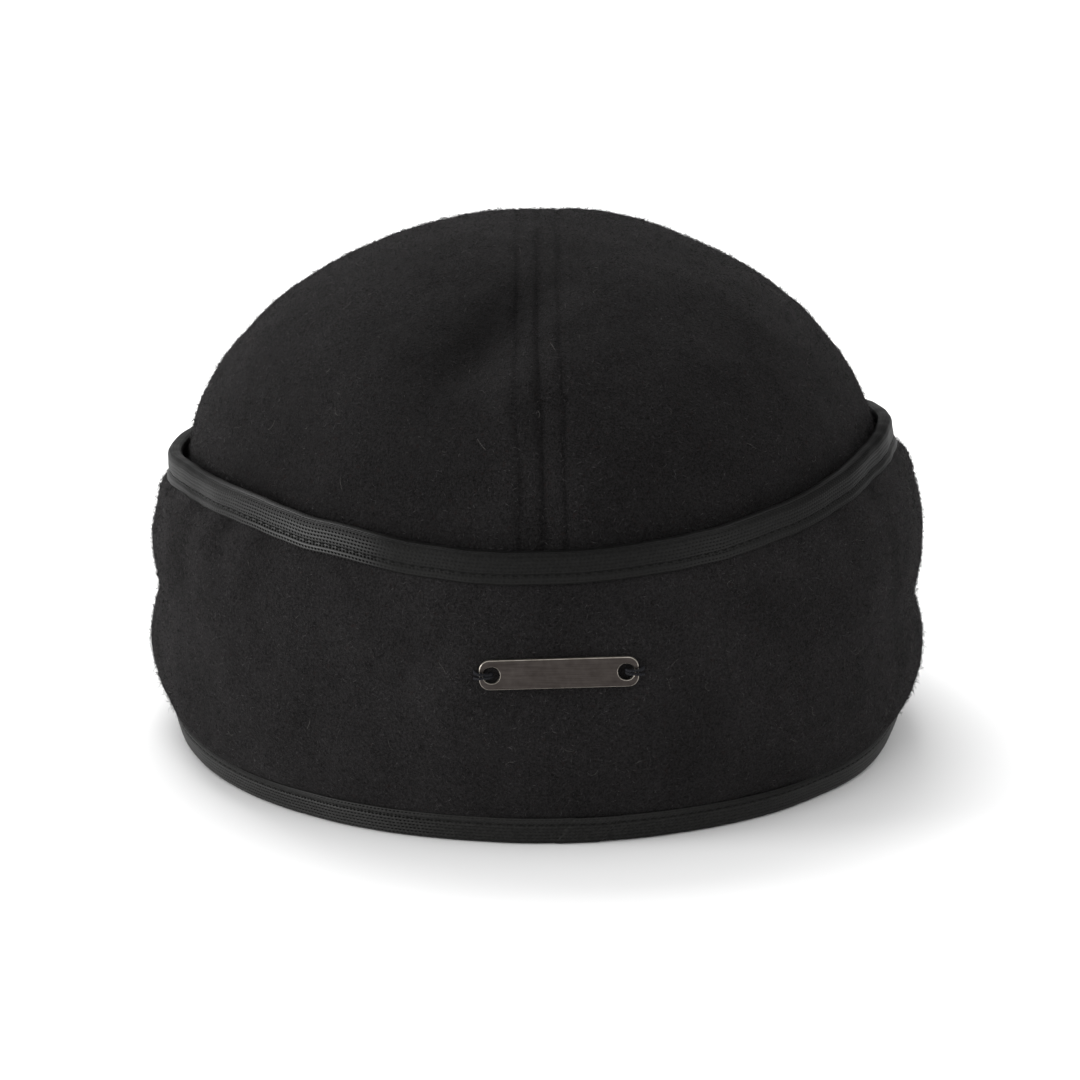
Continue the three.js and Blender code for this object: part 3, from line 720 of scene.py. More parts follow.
# The slack cloth's soft fold as it is seen from behind and above: its middle, how steeply its
# line falls, and the slope of the line of sight; then where the ridge lies beside the valley
# and along it
FOLD_CENTRE, FOLD_TILT, SIGHT_SLOPE = np.array([9.8, 95.0]), math.radians(48), 0.268
RIDGE_BESIDE, RIDGE_ALONG, RIDGE_WIDTH = -14.0, 6.0, 7.0
VALLEY_DEPTH, RIDGE_HEIGHT, VALLEY_SHADE, RIDGE_SHADE, TOP_SHADE = 3.2, 1.2, 0.37, 0.10, 0.20


def fold_axes(point):
    """Where a point lies from the fold's middle: how far beside its line and along it, by the
    products with the line's two directions, and a share that is 1 on the back of the crown."""
    seen = np.stack([point[..., 0], point[..., 2] - SIGHT_SLOPE * point[..., 1]], -1)
    way = np.array([math.cos(FOLD_TILT), -math.sin(FOLD_TILT)])
    off = seen - FOLD_CENTRE
    return off @ np.array([-way[1], way[0]]), off @ way, smooth(point[..., 1] / 20)


def crown_folds(point):
    """Depth of the soft fold: a valley that runs down towards the wearer's left, and a low ridge
    on its lower side. Both are bells beside the fold's line and along it."""
    beside, along, behind = fold_axes(point)
    valley = VALLEY_DEPTH * bell(beside, 7.5) * bell(along, 19)
    ridge = bell(beside - RIDGE_BESIDE, RIDGE_WIDTH) * bell(along - RIDGE_ALONG, 14)
    return behind * (valley - RIDGE_HEIGHT * ridge)


def crown_shade(point):
    """Painted shade in the fold's valley and painted light on the ridge on its lower side,
    painted shade growing up over the crown, and waves of random tone."""
    beside, along, behind = fold_axes(point)
    valley = VALLEY_SHADE * bell(beside + 0.5, 9.0) * bell(along, 21)
    ridge = RIDGE_SHADE * bell(beside - RIDGE_BESIDE, RIDGE_WIDTH) * bell(along - RIDGE_ALONG, 16)
    painted_top_shade = TOP_SHADE * smooth((point[..., 2] - SHOULDER) / 52)
    return behind * (ridge - valley) - painted_top_shade + waves(point, 14, 14, 50, LIE_WAVES)


def crown_turns(y_side):
    """For every row of a panel: the turn of each column from the back or front seam, in
    radians, the rows' heights, their rise and their share of the reach."""
    share = np.concatenate([np.ones(WALL_ROWS), np.cos(np.linspace(0, np.pi / 2, DOME_ROWS + 1))])
    rise = np.concatenate([np.zeros(WALL_ROWS), np.sin(np.linspace(0, np.pi / 2, DOME_ROWS + 1))])
    side, along = CROWN_OVAL[0], CROWN_OVAL[1 if y_side > 0 else 2]
    room = np.maximum(share, 1e-3)[:, None]
    tight = np.minimum(1.0, 0.40 * np.pi / 2 * min(side, along) * room / BESIDE_SEAM[-1])
    first = BESIDE_SEAM * tight / (side * room)
    last = (np.pi / 2 - BESIDE_SEAM * tight / (along * room))[:, ::-1]
    between = np.linspace(0, 1, MIDDLE_COLUMNS + 2)[1:-1]
    middle = first[:, -1:] + (last[:, :1] - first[:, -1:]) * between
    return np.concatenate([first, middle, last], axis=1), rise, share


def crown_surface(x_side, y_side, turn, rise, share, inset, relief=1.0):
    """Points of a panel, rows by columns: reach times share times sine and cosine, drawn in by
    inset, dents, seam relief and lumps, on a wall that rises into a dome."""
    degrees = np.degrees(turn)
    angle = x_side * (degrees if y_side > 0 else 180 - degrees)
    bottom = lower_edge(angle) + TAPE_CLOTH + GAP
    climb = np.zeros(len(rise))
    climb[:WALL_ROWS] = np.linspace(0, 1, WALL_ROWS + 1)[:-1]
    climb[WALL_ROWS:] = 1
    z = bottom + (SHOULDER - bottom) * climb[:, None]
    wall = crown_wall_oval(z, angle)
    below = (climb < 1)[:, None]
    k = 1 if y_side > 0 else 2
    side = np.where(below, wall[0], CROWN_OVAL[0])
    along = np.where(below, wall[k], CROWN_OVAL[k])
    height = z + DOME * rise[:, None]
    free = smooth((height - lower_edge(angle) - LOW_TAPE) / LOW_TAPE)
    top = (smooth(share * 14) * (0.45 + 0.40 * smooth((share - 0.22) / 0.3)))[:, None]
    to_middle = turn * side * share[:, None]
    dent = fold_depth(CROWN_DENTS, angle, height / CROWN_HEIGHT) * smooth(3 * share)[:, None]
    plain = np.stack([x_side * side * share[:, None] * np.sin(turn),
                      y_side * along * share[:, None] * np.cos(turn), height], -1)
    wander = waves(plain * [0, 1, 1], 13, 12, 50, 0.22)
    seams = seam_relief(to_middle + wander)
    lumps = waves(plain, 11, 16, 55, 0.30) + waves(plain, 12, 5, 12, 0.07)
    calm = smooth(to_middle / 4)
    dip = (0.2 + 0.5 * smooth((share[:, None] - 0.3) / 0.3)) * bell(to_middle, 5)
    depth = inset + free * (dip + dent + crown_folds(plain)
                            - relief * top * (seams + lumps * calm))
    x = (side - depth) * share[:, None] * np.sin(turn)
    y = (along - depth) * share[:, None] * np.cos(turn)
    drift = -SEAM_DRIFT * smooth((CROWN_HEIGHT - 6 - height) / 45) * (y_side > 0) * bell(x, 35)
    return np.stack([x_side * x + drift, y_side * y, z + (DOME - depth) * rise[:, None]], -1)


# %% Four crown panels
PANELS = {
    "crown_back_left": (1, 1), "crown_back_right": (-1, 1),
    "crown_front_left": (1, -1), "crown_front_right": (-1, -1),
}
crown_faces, crown_pieces = {}, {}
for node, (x_side, y_side) in PANELS.items():
    turn, rise, share = crown_turns(y_side)
    outside = crown_surface(x_side, y_side, turn, rise, share, 0.0)
    inside = crown_surface(x_side, y_side, turn, rise, share, CROWN_CLOTH, relief=0.25)
    rows, columns = turn.shape
    quads = wall_quads(rows, columns, INSIDE_STEP)
    loop = np.concatenate([outside, inside[::-INSIDE_STEP]])
    # Painted shade in the crown's fold and over its top, painted light on the fold's ridge, with
    # random tone
    shade_and_tone = crown_shade(loop)
    # Painted shade: fine dark lines along the seam and along its stitches, where the grooves lie in
    # shade
    to_middle = turn * CROWN_OVAL[0] * share[:, None]
    lines = bell(to_middle, 1.0) + 0.8 * bell(to_middle - STITCH_LINE, 0.9)
    fade = smooth(share * 14) * (0.36 - 0.16 * smooth((share - 0.3) / 0.3)) * (rise > 0)
    shade_and_tone[:rows] -= lines * fade[:, None]
    piece = make_piece("panel_" + node, loop, quads, [wool_crown], shade=shade_and_tone)
    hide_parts(node)
    crown_faces[node], crown_pieces[node] = outside, piece

# %% [markdown]
# ## Topstitching
# Beside the seam that runs over the middle a row of stitches on each side holds the turnings
# flat. The thread is as dark as the wool, so the row reads as a fine groove with a beat in it,
# and each stitch is a small tube. The seams over the ears are pressed open and stay plain.

# %% Stitches beside the crown's middle seam
SEAM_STITCH, SEAM_STITCH_PITCH, SEAM_THREAD = 2.2, 2.9, 0.13
paths, ups = [], []
for outside in crown_faces.values():
    normals = grid_normals(outside, outside * [1, 1, 0.6] + [0, 0, 1e-3])
    upper = np.arange(WALL_ROWS, int(WALL_ROWS + DOME_ROWS * 0.945))
    near = int(np.argmin(np.abs(BESIDE_SEAM - STITCH_LINE)))
    line, up = walk_line(outside[upper, near], normals[upper, near], SEAM_STITCH_PITCH,
                         SEAM_STITCH, 0.3)
    paths.append(line - 0.10 * up)
    ups.append(up)
points, quads = tube_bundle(np.concatenate(paths), np.concatenate(ups), SEAM_THREAD, 6)
make_piece("crown_topstitching", points, quads, [seam_yarn])

# %% [markdown]
# ## The ear band
# The band is one strip of double wool sewn into a ring. It is folded up, so it is a little loose:
# it has folds over the ears, short puckers where the tape gathers it, and it is pressed flat
# where the label is sewn on. It is thinner under the tape, and swells just beside it.

# %% The band's surface
BAND_COLUMNS, BAND_ROWS, PUCKER_SHADE = 480, 70, 0.42
# Puckers under the upper tape: angle, width in degrees, depth in mm, reach down the band in mm
PUCKERS = np.array([
    [79, 2.4, 0.55, 20], [70.7, 2.6, -0.50, 20], [63.7, 2.2, 0.70, 24], [57.5, 1.8, -0.60, 22],
    [53.5, 1.7, 0.60, 26], [49.2, 1.8, -0.40, 22], [45, 2.0, 0.35, 24], [33, 2.6, 0.18, 18],
    [-80, 2.2, 0.50, 20], [-71, 2.0, -0.40, 24], [-64, 2.0, 0.60, 30], [-58, 1.8, -0.40, 24],
    [-52, 2.0, 0.40, 26], [-41, 2.6, 0.20, 20], [105, 2.4, 0.4, 20], [122, 3.0, -0.3, 20],
    [-104, 2.4, 0.4, 20], [-124, 3.0, 0.3, 20], [150, 3.0, 0.25, 18], [-156, 3.0, 0.25, 18],
])


# Low crests of the upper edge: angle, width in degrees, height in mm
EDGE_CRESTS = ((29, 5, 0.55), (-37, 5, 0.45), (62, 7, -0.4), (-66, 7, 0.3), (8, 9, -0.25))


def edge_lift(angle):
    """The upper edge waves a little where the tape was eased round: the sum of its crests."""
    return sum(high * bell(turn_between(at, angle), wide) for at, wide, high in EDGE_CRESTS)


def pucker_depth(angle, below):
    """Sum over the puckers of depth times a bell along the band, fading down from the tape."""
    depth = 0.0
    for at, wide, deep, reach in PUCKERS:
        depth = depth + deep * bell(turn_between(at, angle), wide) * bell(below, reach)
    return depth


def band_shade(angle, z):
    """Painted shade in a pucker and painted light on the ridge beside it: a share of the
    pucker's depth, and waves of random tone."""
    shade_and_tone = waves(band_point(angle, z, 0.0), 24, 14, 50, LIE_WAVES)
    return shade_and_tone - PUCKER_SHADE * pucker_depth(angle, upper_edge(angle) - z)


def low_roll(angle):
    """Beside the ears the wool rolls softly over the lower tape's lip: 1 there and 0 behind."""
    return smooth((np.abs(angle) - 42) / 22) * smooth((150 - np.abs(angle)) / 30)


def soft_band(angle, z, inset, relief=1.0):
    """A point of the band, with its soft detail as a depth: the nip under each tape, less the
    swell beside it, and puckers, less lumps that are calm at the tapes."""
    top, low = upper_edge(angle) - z, z - lower_edge(angle)
    roll = low_roll(angle)
    nip = 0.40 * smooth((TOP_TAPE + 0.6 - top) / 2.0)
    nip = nip + (0.12 + 0.40 * roll) * smooth((LOW_TAPE - low) / 2.0)
    swell = 0.42 * bell(top - TOP_TAPE - 3.2, 2.4) + 0.25 * bell(low - LOW_TAPE - 4.0, 3.0)
    swell = swell + 0.45 * roll * bell(low - LOW_TAPE - 1.4, 2.0)
    plain = band_point(angle, z, 0.0)
    calm = smooth(top / TOP_TAPE - 0.6) * smooth(low / LOW_TAPE - 0.6)
    lumps = waves(plain, 21, 18, 60, 0.34) + waves(plain, 22, 5, 13, 0.07)
    shape = nip - swell + pucker_depth(angle, top) - lumps * calm
    return band_point(angle, z, inset + relief * shape)


# %% The ear band
angle = np.linspace(-180, 180, BAND_COLUMNS, endpoint=False)[:, None]
low = TAPE_CLOTH + GAP
share = np.linspace(0, 1, BAND_ROWS)[None]
bottom = lower_edge(angle) + low
height = bottom + share * (upper_edge(angle) - low - bottom)
band_outside = soft_band(angle, height, 0.0)
band_inside = soft_band(angle, height, BAND_CLOTH, relief=0.3)
loop = np.concatenate([band_outside, band_inside[:, ::-3]], axis=1)
# Painted shade in the puckers and painted light on their ridges, with random tone
shade_and_tone = band_shade(angle, height)
ear_band = make_piece("ear_band_cloth", loop,
                      grid_quads(BAND_COLUMNS, loop.shape[1], True, True), [wool_band],
                      shade=np.concatenate([shade_and_tone, shade_and_tone[:, ::-3]], axis=1))
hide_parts("ear_band")

# %% [markdown]
# ## The woven tape
# A tape about 19 mm wide is folded over the edge and sewn through with one row of stitches. Its
# ribs are real ridges in the mesh, the stitches pull in a groove, and below the groove its
# selvage stands up again as a lip. The profile is a table of points across the tape, and it is
# carried round the cap.

# %% The tape's profile
RIB_HEIGHT, GROOVE_DEPTH, TAPE_PROUD, TAPE_THICK = 0.035, 0.34, 0.95, 0.62


def tape_face(down):
    """Height of the tape's outer face over its plain face, at a way down from the fold: ribs as
    rounded ridges, the groove of the stitches, and a rounded end at the selvage."""
    rib = np.where(down < GROOVE, down / RIB_PITCH, (down - LIP_START) / LIP_PITCH)
    ribs = RIB_HEIGHT * np.abs(np.sin(np.pi * rib))
    return ribs - GROOVE_DEPTH * bell(down - GROOVE, 0.45)


def tape_profile(cloth, outside_height, inside_height):
    """Points across the tape, as (inset from the cloth's outer face, way down from the fold):
    up the inside of the outer leg, round the selvage, over the outer face to the fold, across
    the web, down the inner leg and back. The fold's corners are round."""
    outer, inner = -TAPE_PROUD, cloth + TAPE_PROUD
    thick, round_off = TAPE_THICK, 1.3
    face = np.arange(outside_height - 0.45, round_off, -0.16)
    curl = 0.12 * bell(face - outside_height + 1.2, 0.9)
    leg = np.stack([outer - tape_face(face) - curl, face], 1)
    lip_turn = np.linspace(-np.pi / 2, np.pi / 2, 7)
    lip = np.stack([outer + thick / 2 - (thick / 2) * np.sin(lip_turn),
                    outside_height - 0.45 + 0.40 * np.cos(lip_turn)], 1)
    corner = np.linspace(0, np.pi / 2, 8)
    first = np.stack([outer + round_off * (1 - np.cos(corner)),
                      round_off * (1 - np.sin(corner))], 1)
    web = np.arange(outer + round_off + 0.2, inner - round_off - 0.1, 0.2)
    across = np.stack([web, -0.05 * np.abs(np.sin(np.pi * web / RIB_PITCH))], 1)
    second = np.stack([inner - round_off * (1 - np.sin(corner)),
                       round_off * (1 - np.cos(corner))], 1)
    back = np.arange(round_off + 0.5, inside_height - 0.4, 0.5)
    inner_leg = np.stack([np.full(len(back), inner), back], 1)
    turn = np.linspace(0, np.pi, 7)
    inner_lip = np.stack([inner - thick / 2 + (thick / 2) * np.cos(turn),
                          inside_height - 0.4 + 0.4 * np.sin(turn)], 1)
    lining = [[inner - thick, 2.2], [inner - thick - 0.2, 1.0], [inner - thick - 0.9, thick],
              [outer + thick + 0.9, thick], [outer + thick + 0.2, 1.0], [outer + thick, 2.2],
              [outer + thick, 4.2]]
    return np.concatenate([lip, leg, first, across, second, inner_leg, inner_lip, lining])


def arc_length(points, axis):
    """Way along a grid's rows or columns from the first, with the way back to it at the end."""
    step = np.linalg.norm(np.diff(points, axis=axis, append=np.take(points, [0], axis)), axis=-1)
    return np.concatenate([np.zeros_like(np.take(step, [0], axis)), np.cumsum(step, axis)], axis)


def carry_tape(angle, profile, edge, sign, offset):
    """Points of a tape: at each angle the profile hangs from the edge (sign -1) or stands on it
    (sign +1), pushed out by offset, which may change along and across the tape."""
    inset, way = profile[None, :, 0], profile[None, :, 1]
    return band_point(angle, edge + sign * way, inset - offset)


def tape_piece(name, points, profile, material, node, shade=None):
    """The tape's mesh, with a map whose u is the way along it and whose v is the way across it,
    counted from the fold, so that v is the way down on the outer face."""
    columns, steps = points.shape[:2]
    middle = points.mean(axis=1, keepdims=True)
    u = arc_length(middle, 0)[:, 0]
    across = arc_length(profile[None], 1)[0]
    fold = int(np.argmin(np.abs(profile[:, 1] - 2.0) + 9 * (profile[:, 0] > profile[0, 0] + 0.3)))
    v = profile[fold, 1] + across[fold] - across
    quads = grid_quads(columns, steps, True, True)
    c, k = np.divmod(quads[:, 0], steps)
    uv = np.stack([np.stack([u[c + dc], v[k + dk]], -1)
                   for dc, dk in ((0, 0), (1, 0), (1, 1), (0, 1))], 1)
    piece = make_piece(name, points, quads, [material], uv=uv, shade=shade)
    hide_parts(node)
    return piece


# %% The upper and the lower tape
TAPE_JOIN, JOIN_STEP, TUCK, HUNG_SHADE, FOLD_SHADE = -7.4, 0.38, 0.50, 0.40, 0.36
angle = np.concatenate([np.arange(-180, -14, 1.0), np.arange(-14, 0, 0.14),
                        np.arange(0, 180, 1.0)])[:, None]
profile = tape_profile(BAND_CLOTH - 0.9, TOP_TAPE, TOP_TAPE_INSIDE)
profile[:, 0] += 0.45
way = profile[None, :, 1]
ease = pucker_depth(angle, way) * smooth(way / 4)
wobble = waves(band_point(angle, upper_edge(angle), 0), 31, 14, 40, 0.10)
top_edge = upper_edge(angle) + edge_lift(angle)
top_edge = top_edge + waves(band_point(angle, upper_edge(angle), 0), 33, 4, 11, 0.05)[:, :1]
top_points = carry_tape(angle, profile, top_edge, -1, wobble - 0.2 * ease)
# Painted light and shade along the upper tape, read by angle: where it is lighter it is also
# glossier and its gaps open, and round the ears it is painted darker and duller
TOP_TAPE_PAINTED_LIGHT = np.array([
    [-180, 0.70], [-90, 0.30], [-77, 0.25], [-70, 0.28], [-63, 0.40], [-56, 0.50], [-49, 0.55],
    [-42, 0.65], [-35, 0.76], [-28, 0.95], [-21, 0.84], [-14, 0.76], [0, 0.76], [7, 0.76],
    [14, 0.85], [21, 0.78], [23.5, 0.85], [26.5, 1.20], [35, 1.26], [42, 1.20], [49, 1.06],
    [56, 0.86], [63, 0.57], [70, 0.47], [84, 0.34], [180, 0.70],
])
# Painted light and shade along the lower tape, read by angle
LOW_TAPE_PAINTED_LIGHT = np.array([
    [-180, 0.70], [-84, 0.45], [-70, 0.50], [-56, 0.76], [-42, 0.72], [-21, 0.72], [7, 0.72],
    [14, 0.78], [21, 0.98], [28, 1.08], [35, 1.00], [42, 0.90], [56, 0.86], [70, 0.62],
    [84, 0.45], [180, 0.70],
])


def tape_shade(table, angle, profile):
    """Painted light and shade of a tape, as how much lighter than 1 it is: its table read at the
    angle, and painted shade over its fold.
    """
    along = np.interp(angle, table[:, 0], table[:, 1])
    return along * (1 - FOLD_SHADE * bell(profile[None, :, 1], 0.6)) - 1


binding_top = tape_piece("binding_top_tape", top_points, profile, tape_top, "binding_top",
                         shade=tape_shade(TOP_TAPE_PAINTED_LIGHT, angle, profile))

cloths = BAND_CLOTH + GAP + CROWN_CLOTH
low_profile = tape_profile(cloths - 0.4, LOW_TAPE, LOW_TAPE_INSIDE)
low_profile[:, 0] += 0.3
way = low_profile[None, :, 1]
outer_leg = low_profile[None, :, 0] < cloths / 2
slant = turn_between(TAPE_JOIN, angle) + 0.45 * (way - 3)
overlap = JOIN_STEP * smooth((slant + 3.6) / 0.5) * smooth((3.6 - slant) / 0.5)
wobble = waves(band_point(angle, lower_edge(angle) + 3, 0), 32, 12, 40, 0.16)
tucked = TUCK * low_roll(angle) * smooth((way - 3.2) / 3.2)
low_points = carry_tape(angle, low_profile, lower_edge(angle), 1,
                        wobble + (overlap - tucked) * outer_leg)
# Painted light and shade of the lower tape
shade_and_tone = tape_shade(LOW_TAPE_PAINTED_LIGHT, angle, low_profile)
# Where the wool hangs over the lower tape's lip, the lip lies in its shade
hung = smooth((way - 4.6) / 0.8) * bell(np.abs(angle) - 52, 28)
binding_low = tape_piece("binding_bottom_tape", low_points, low_profile, tape_low,
                         "binding_bottom", shade=shade_and_tone - HUNG_SHADE * (1 + shade_and_tone) * hung)

# %% The stitches of both tapes
TAPE_STITCH, TAPE_STITCH_PITCH, TAPE_THREAD = 1.7, 2.4, 0.14
paths, ups = [], []
for points, table in ((top_points, profile), (low_points, low_profile)):
    outer = table[:, 0] < table[:, 0].min() + 0.7
    k = int(np.argmin(np.abs(table[:, 1] - GROOVE) + 9 * ~outer))
    normals = grid_normals(points, points * [1, 1, 0])
    line, up = walk_line(points[:, k], normals[:, k], TAPE_STITCH_PITCH, TAPE_STITCH, 0.25)
    paths.append(line + 0.03 * up)
    ups.append(up)
points, quads = tube_bundle(np.concatenate(paths), np.concatenate(ups), TAPE_THREAD, 6)
make_piece("tape_stitching", points, quads, [tape_yarn])

# %% [markdown]
# ## The peak
# The peak is a stiff board in the same wool, a crescent under the front of the tape. From behind
# it is hidden, so it is plain: one curved board whose edge is rounded as folded cloth is.

# %% The peak's surface
PEAK_COLUMNS, PEAK_CORNER_DEPTH = 161, 0.5


def peak_drop(from_front):
    """How far the peak's edge lies below its root: least in the middle, down to the table at
    two places beside it, and nothing at its corners."""
    room = lower_edge(180 - from_front) - GAP - PEAK_BOARD
    to_touch = np.sin(np.radians(np.minimum(from_front / PEAK_TOUCH_ANGLE, 1) * 90)) ** 2
    to_corner = (from_front - PEAK_TOUCH_ANGLE) / (PEAK_HALF_ANGLE - PEAK_TOUCH_ANGLE)
    middle = np.minimum(PEAK_MIDDLE_DROP, room)
    return (middle + (room - middle) * to_touch) * (1 - smooth(to_corner))


signed = np.linspace(-PEAK_HALF_ANGLE, PEAK_HALF_ANGLE, PEAK_COLUMNS)[:, None]
angle = np.where(signed < 0, -180 - signed, 180 - signed)
from_front = np.abs(signed)
half = PEAK_BOARD / 2
rim = np.linspace(np.pi / 2, -np.pi / 2, 9)[None, 1:-1]
out = np.linspace(0, 1, 40)[None]
depth = PEAK_DEPTH * (1 - (from_front / PEAK_HALF_ANGLE) ** PEAK_OUTLINE_POWER)
depth = np.maximum(depth, PEAK_CORNER_DEPTH)
face_inset = -GAP - TAPE_CLOTH


def peak_row(share, outward, up):
    """Points at a share of the peak's depth, moved outwards and up, from the board's middle."""
    reach = np.maximum(depth - half, 0)
    z = lower_edge(angle) - GAP - half - peak_drop(from_front) * share**PEAK_SLOPE_CURVE
    return oval_point(band_oval(np.zeros(1)), angle, z + up, face_inset - share * reach - outward)


narrow = np.minimum(depth, half)
tuck = peak_row(np.zeros((1, 1)), -PEAK_TUCK, half)
upper = peak_row(out, 0.0, half)
edge = peak_row(np.ones((1, 1)), narrow * np.cos(rim), half * np.sin(rim))
lower = peak_row(out[:, ::-1], 0.0, -half)
under = peak_row(np.zeros((1, 1)), -PEAK_TUCK, -half)
loop = np.concatenate([tuck, upper, edge, lower, under], axis=1)
steps = loop.shape[1]
quads = [grid_quads(PEAK_COLUMNS, steps, round_columns=True)]
k = np.arange(steps // 2)
for c in (0, PEAK_COLUMNS - 1):
    end = np.stack([k, k + 1, steps - 2 - k, steps - 1 - k], 1) + c * steps
    quads.append(end[:, ::-1] if c == 0 else end)
peak = make_piece("peak_board", loop, np.concatenate(quads), [wool_peak])
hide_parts("peak")
peak_top = upper

# %% [markdown]
# ## The label
# The label is stamped from sheet: a bar with round corners and a hole at each end, its edges
# rolled over. A flat curve with holes fills itself and bevels every edge at once, which a grid
# cannot do, so the bar is drawn as a curve and turned into a mesh before it is put in place.

# %% The label's plate
LABEL_BEVEL = 0.32
FACE_SLOPE = 0.9  # a triangle that faces out of the cloth less than this is the bright edge


def circle(radius, x, y, start, stop, count):
    """Points on a circle round (x, y) from a start to a stop angle in degrees."""
    turn = np.radians(np.linspace(start, stop, count))
    return np.stack([x + radius * np.cos(turn), y + radius * np.sin(turn)], 1)


reach_x, reach_y = LABEL_LENGTH / 2 - LABEL_CORNER, LABEL_HEIGHT / 2 - LABEL_CORNER
outline = np.concatenate([
    circle(LABEL_CORNER, reach_x, reach_y, 0, 90, 12),
    circle(LABEL_CORNER, -reach_x, reach_y, 90, 180, 12),
    circle(LABEL_CORNER, -reach_x, -reach_y, 180, 270, 12),
    circle(LABEL_CORNER, reach_x, -reach_y, 270, 360, 12),
])
hole_x = LABEL_LENGTH / 2 - HOLE_INSET
holes = [circle(HOLE_RADIUS, side * hole_x, 0, 0, 360, 41)[:-1] for side in (1, -1)]
curve = bpy.data.curves.new("label_outline", "CURVE")
curve.dimensions, curve.fill_mode = "2D", "BOTH"
curve.extrude, curve.bevel_depth = LABEL_THICKNESS / 2 - LABEL_BEVEL, LABEL_BEVEL
curve.bevel_resolution, curve.offset = 3, -LABEL_BEVEL
for loop in (outline, *holes):
    spline = curve.splines.new("POLY")
    spline.points.add(len(loop) - 1)
    flat = np.concatenate([loop, np.zeros((len(loop), 1)), np.ones((len(loop), 1))], axis=1)
    spline.points.foreach_set("co", flat.ravel())
    spline.use_cyclic_u = True
sketch = bpy.data.objects.new("label_sketch", curve)
bpy.context.scene.collection.objects.link(sketch)
bpy.context.view_layer.update()
flat_mesh = bpy.data.meshes.new_from_object(
    sketch.evaluated_get(bpy.context.evaluated_depsgraph_get()))
bpy.data.objects.remove(sketch)

plate_box = [np.array(corner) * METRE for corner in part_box("label_plate")]
PLATE_BACK = plate_box[0][1]


def place_label(local):
    """From the label's own axes (along, out of the cloth, up) to millimetres round the centre:
    tilted about the axis that points out of the cloth."""
    tilt = math.radians(LABEL_TILT)
    x = local[..., 0] * math.cos(tilt) + local[..., 2] * math.sin(tilt)
    z = local[..., 2] * math.cos(tilt) - local[..., 0] * math.sin(tilt)
    back = PLATE_BACK - CENTRE[1]
    return np.stack([x + LABEL_OFFSET, local[..., 1] + back, z + LABEL_CENTRE_HEIGHT], -1)


flat_points = np.empty(len(flat_mesh.vertices) * 3)
flat_mesh.vertices.foreach_get("co", flat_points)
flat_points = flat_points.reshape(-1, 3)
local = np.stack([flat_points[:, 0], LABEL_THICKNESS / 2 - flat_points[:, 2], flat_points[:, 1]], 1)
flat_mesh.calc_loop_triangles()
corners = np.empty(len(flat_mesh.loop_triangles) * 3, np.int32)
flat_mesh.loop_triangles.foreach_get("vertices", corners)
corners = corners.reshape(-1, 3)
first, second, third = (local[corners[:, k]] for k in range(3))
facing = np.cross(second - first, third - first)
slope = np.abs(facing[:, 1]) / np.maximum(np.linalg.norm(facing, axis=1), 1e-12)
label_quads = np.concatenate([corners, corners[:, 2:]], axis=1)
plate = make_piece("label_bar", place_label(local), label_quads, [nickel_face, nickel_edge],
                   sides=(slope < FACE_SLOPE).astype(int))
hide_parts("label_plate")

# %% [markdown]
# ## The threads that hold the label
# A doubled thread comes out of each hole, goes over the end of the bar and back into the cloth.
# Each strand is two plies twisted round each other, so a ply is a helix round the strand's path.

# %% Twisted threads
STRAND_RADIUS, PLY_RADIUS, THREAD_STEPS, TWISTS = 0.19, 0.21, 60, 5.0
THREAD_RISE, THREAD_LANDING, THREAD_SQUARENESS = 1.1, 1.0, 3.0
share = np.linspace(0, 1, THREAD_STEPS)
turn = share * np.pi
across = np.sign(np.cos(turn)) * np.abs(np.cos(turn)) ** (2 / THREAD_SQUARENESS)
arch = np.sin(turn).clip(0) ** (2 / THREAD_SQUARENESS)
start, stop = LABEL_LENGTH / 2 - HOLE_INSET, LABEL_LENGTH / 2 + THREAD_LANDING
for side, name in ((1, "left"), (-1, "right")):
    paths = []
    for spread in (-1, 1):
        x = (start + stop) / 2 + (start - stop) / 2 * across
        y = (LABEL_THICKNESS + THREAD_RISE - 0.35) * arch
        z = spread * (0.28 + 0.5 * share**2)
        middle = np.stack([side * x, y, z], 1)
        way = np.gradient(middle, axis=0)
        way /= np.linalg.norm(way, axis=1, keepdims=True)
        one = np.cross(way, [0, 0, 1.0])
        two = np.cross(one, way)
        for ply in (0, np.pi):
            twist = (share * TWISTS * 2 * np.pi + ply)[:, None]
            paths.append(middle + STRAND_RADIUS * (one * np.cos(twist) + two * np.sin(twist)))
    paths = place_label(np.array(paths))
    ups = np.broadcast_to([0.05, 0.1, 1.0], paths.shape)
    points, quads = tube_bundle(paths, ups, PLY_RADIUS, 8)
    piece = make_piece("label_thread_" + name, points, quads, [label_yarn])
    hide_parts("thread_" + name)

# %% [markdown]
# ## The nap
# Felted wool is covered in short loose hairs. They soften the cap's outline against the white
# table, which no bump can do, so they are real: thin three-sided needles, rooted all over the
# cloth, lying mostly along it. A few stand up. Each piece of nap is one mesh of many needles.

# %% Needles on a surface


def scatter(points, count, rng, outward):
    """Random spots on a grid of points, as likely everywhere on its area, with the normal and
    one direction along the surface at each."""
    du = points[1:, :-1] - points[:-1, :-1]
    dv = points[:-1, 1:] - points[:-1, :-1]
    normal = np.cross(du, dv)
    area = np.linalg.norm(normal, axis=-1)
    pick = rng.choice(area.size, count, p=area.ravel() / area.sum())
    i, j = np.unravel_index(pick, area.shape)
    s, t = rng.random((2, count, 1))
    spots = (points[i, j] * (1 - s) * (1 - t) + points[i + 1, j] * s * (1 - t)
             + points[i, j + 1] * (1 - s) * t + points[i + 1, j + 1] * s * t)
    normal = normal[i, j] / area[i, j][:, None]
    normal *= np.sign((normal * (spots * outward)).sum(-1, keepdims=True))
    along = du[i, j] / np.maximum(np.linalg.norm(du[i, j], axis=-1, keepdims=True), 1e-9)
    return spots, normal, along


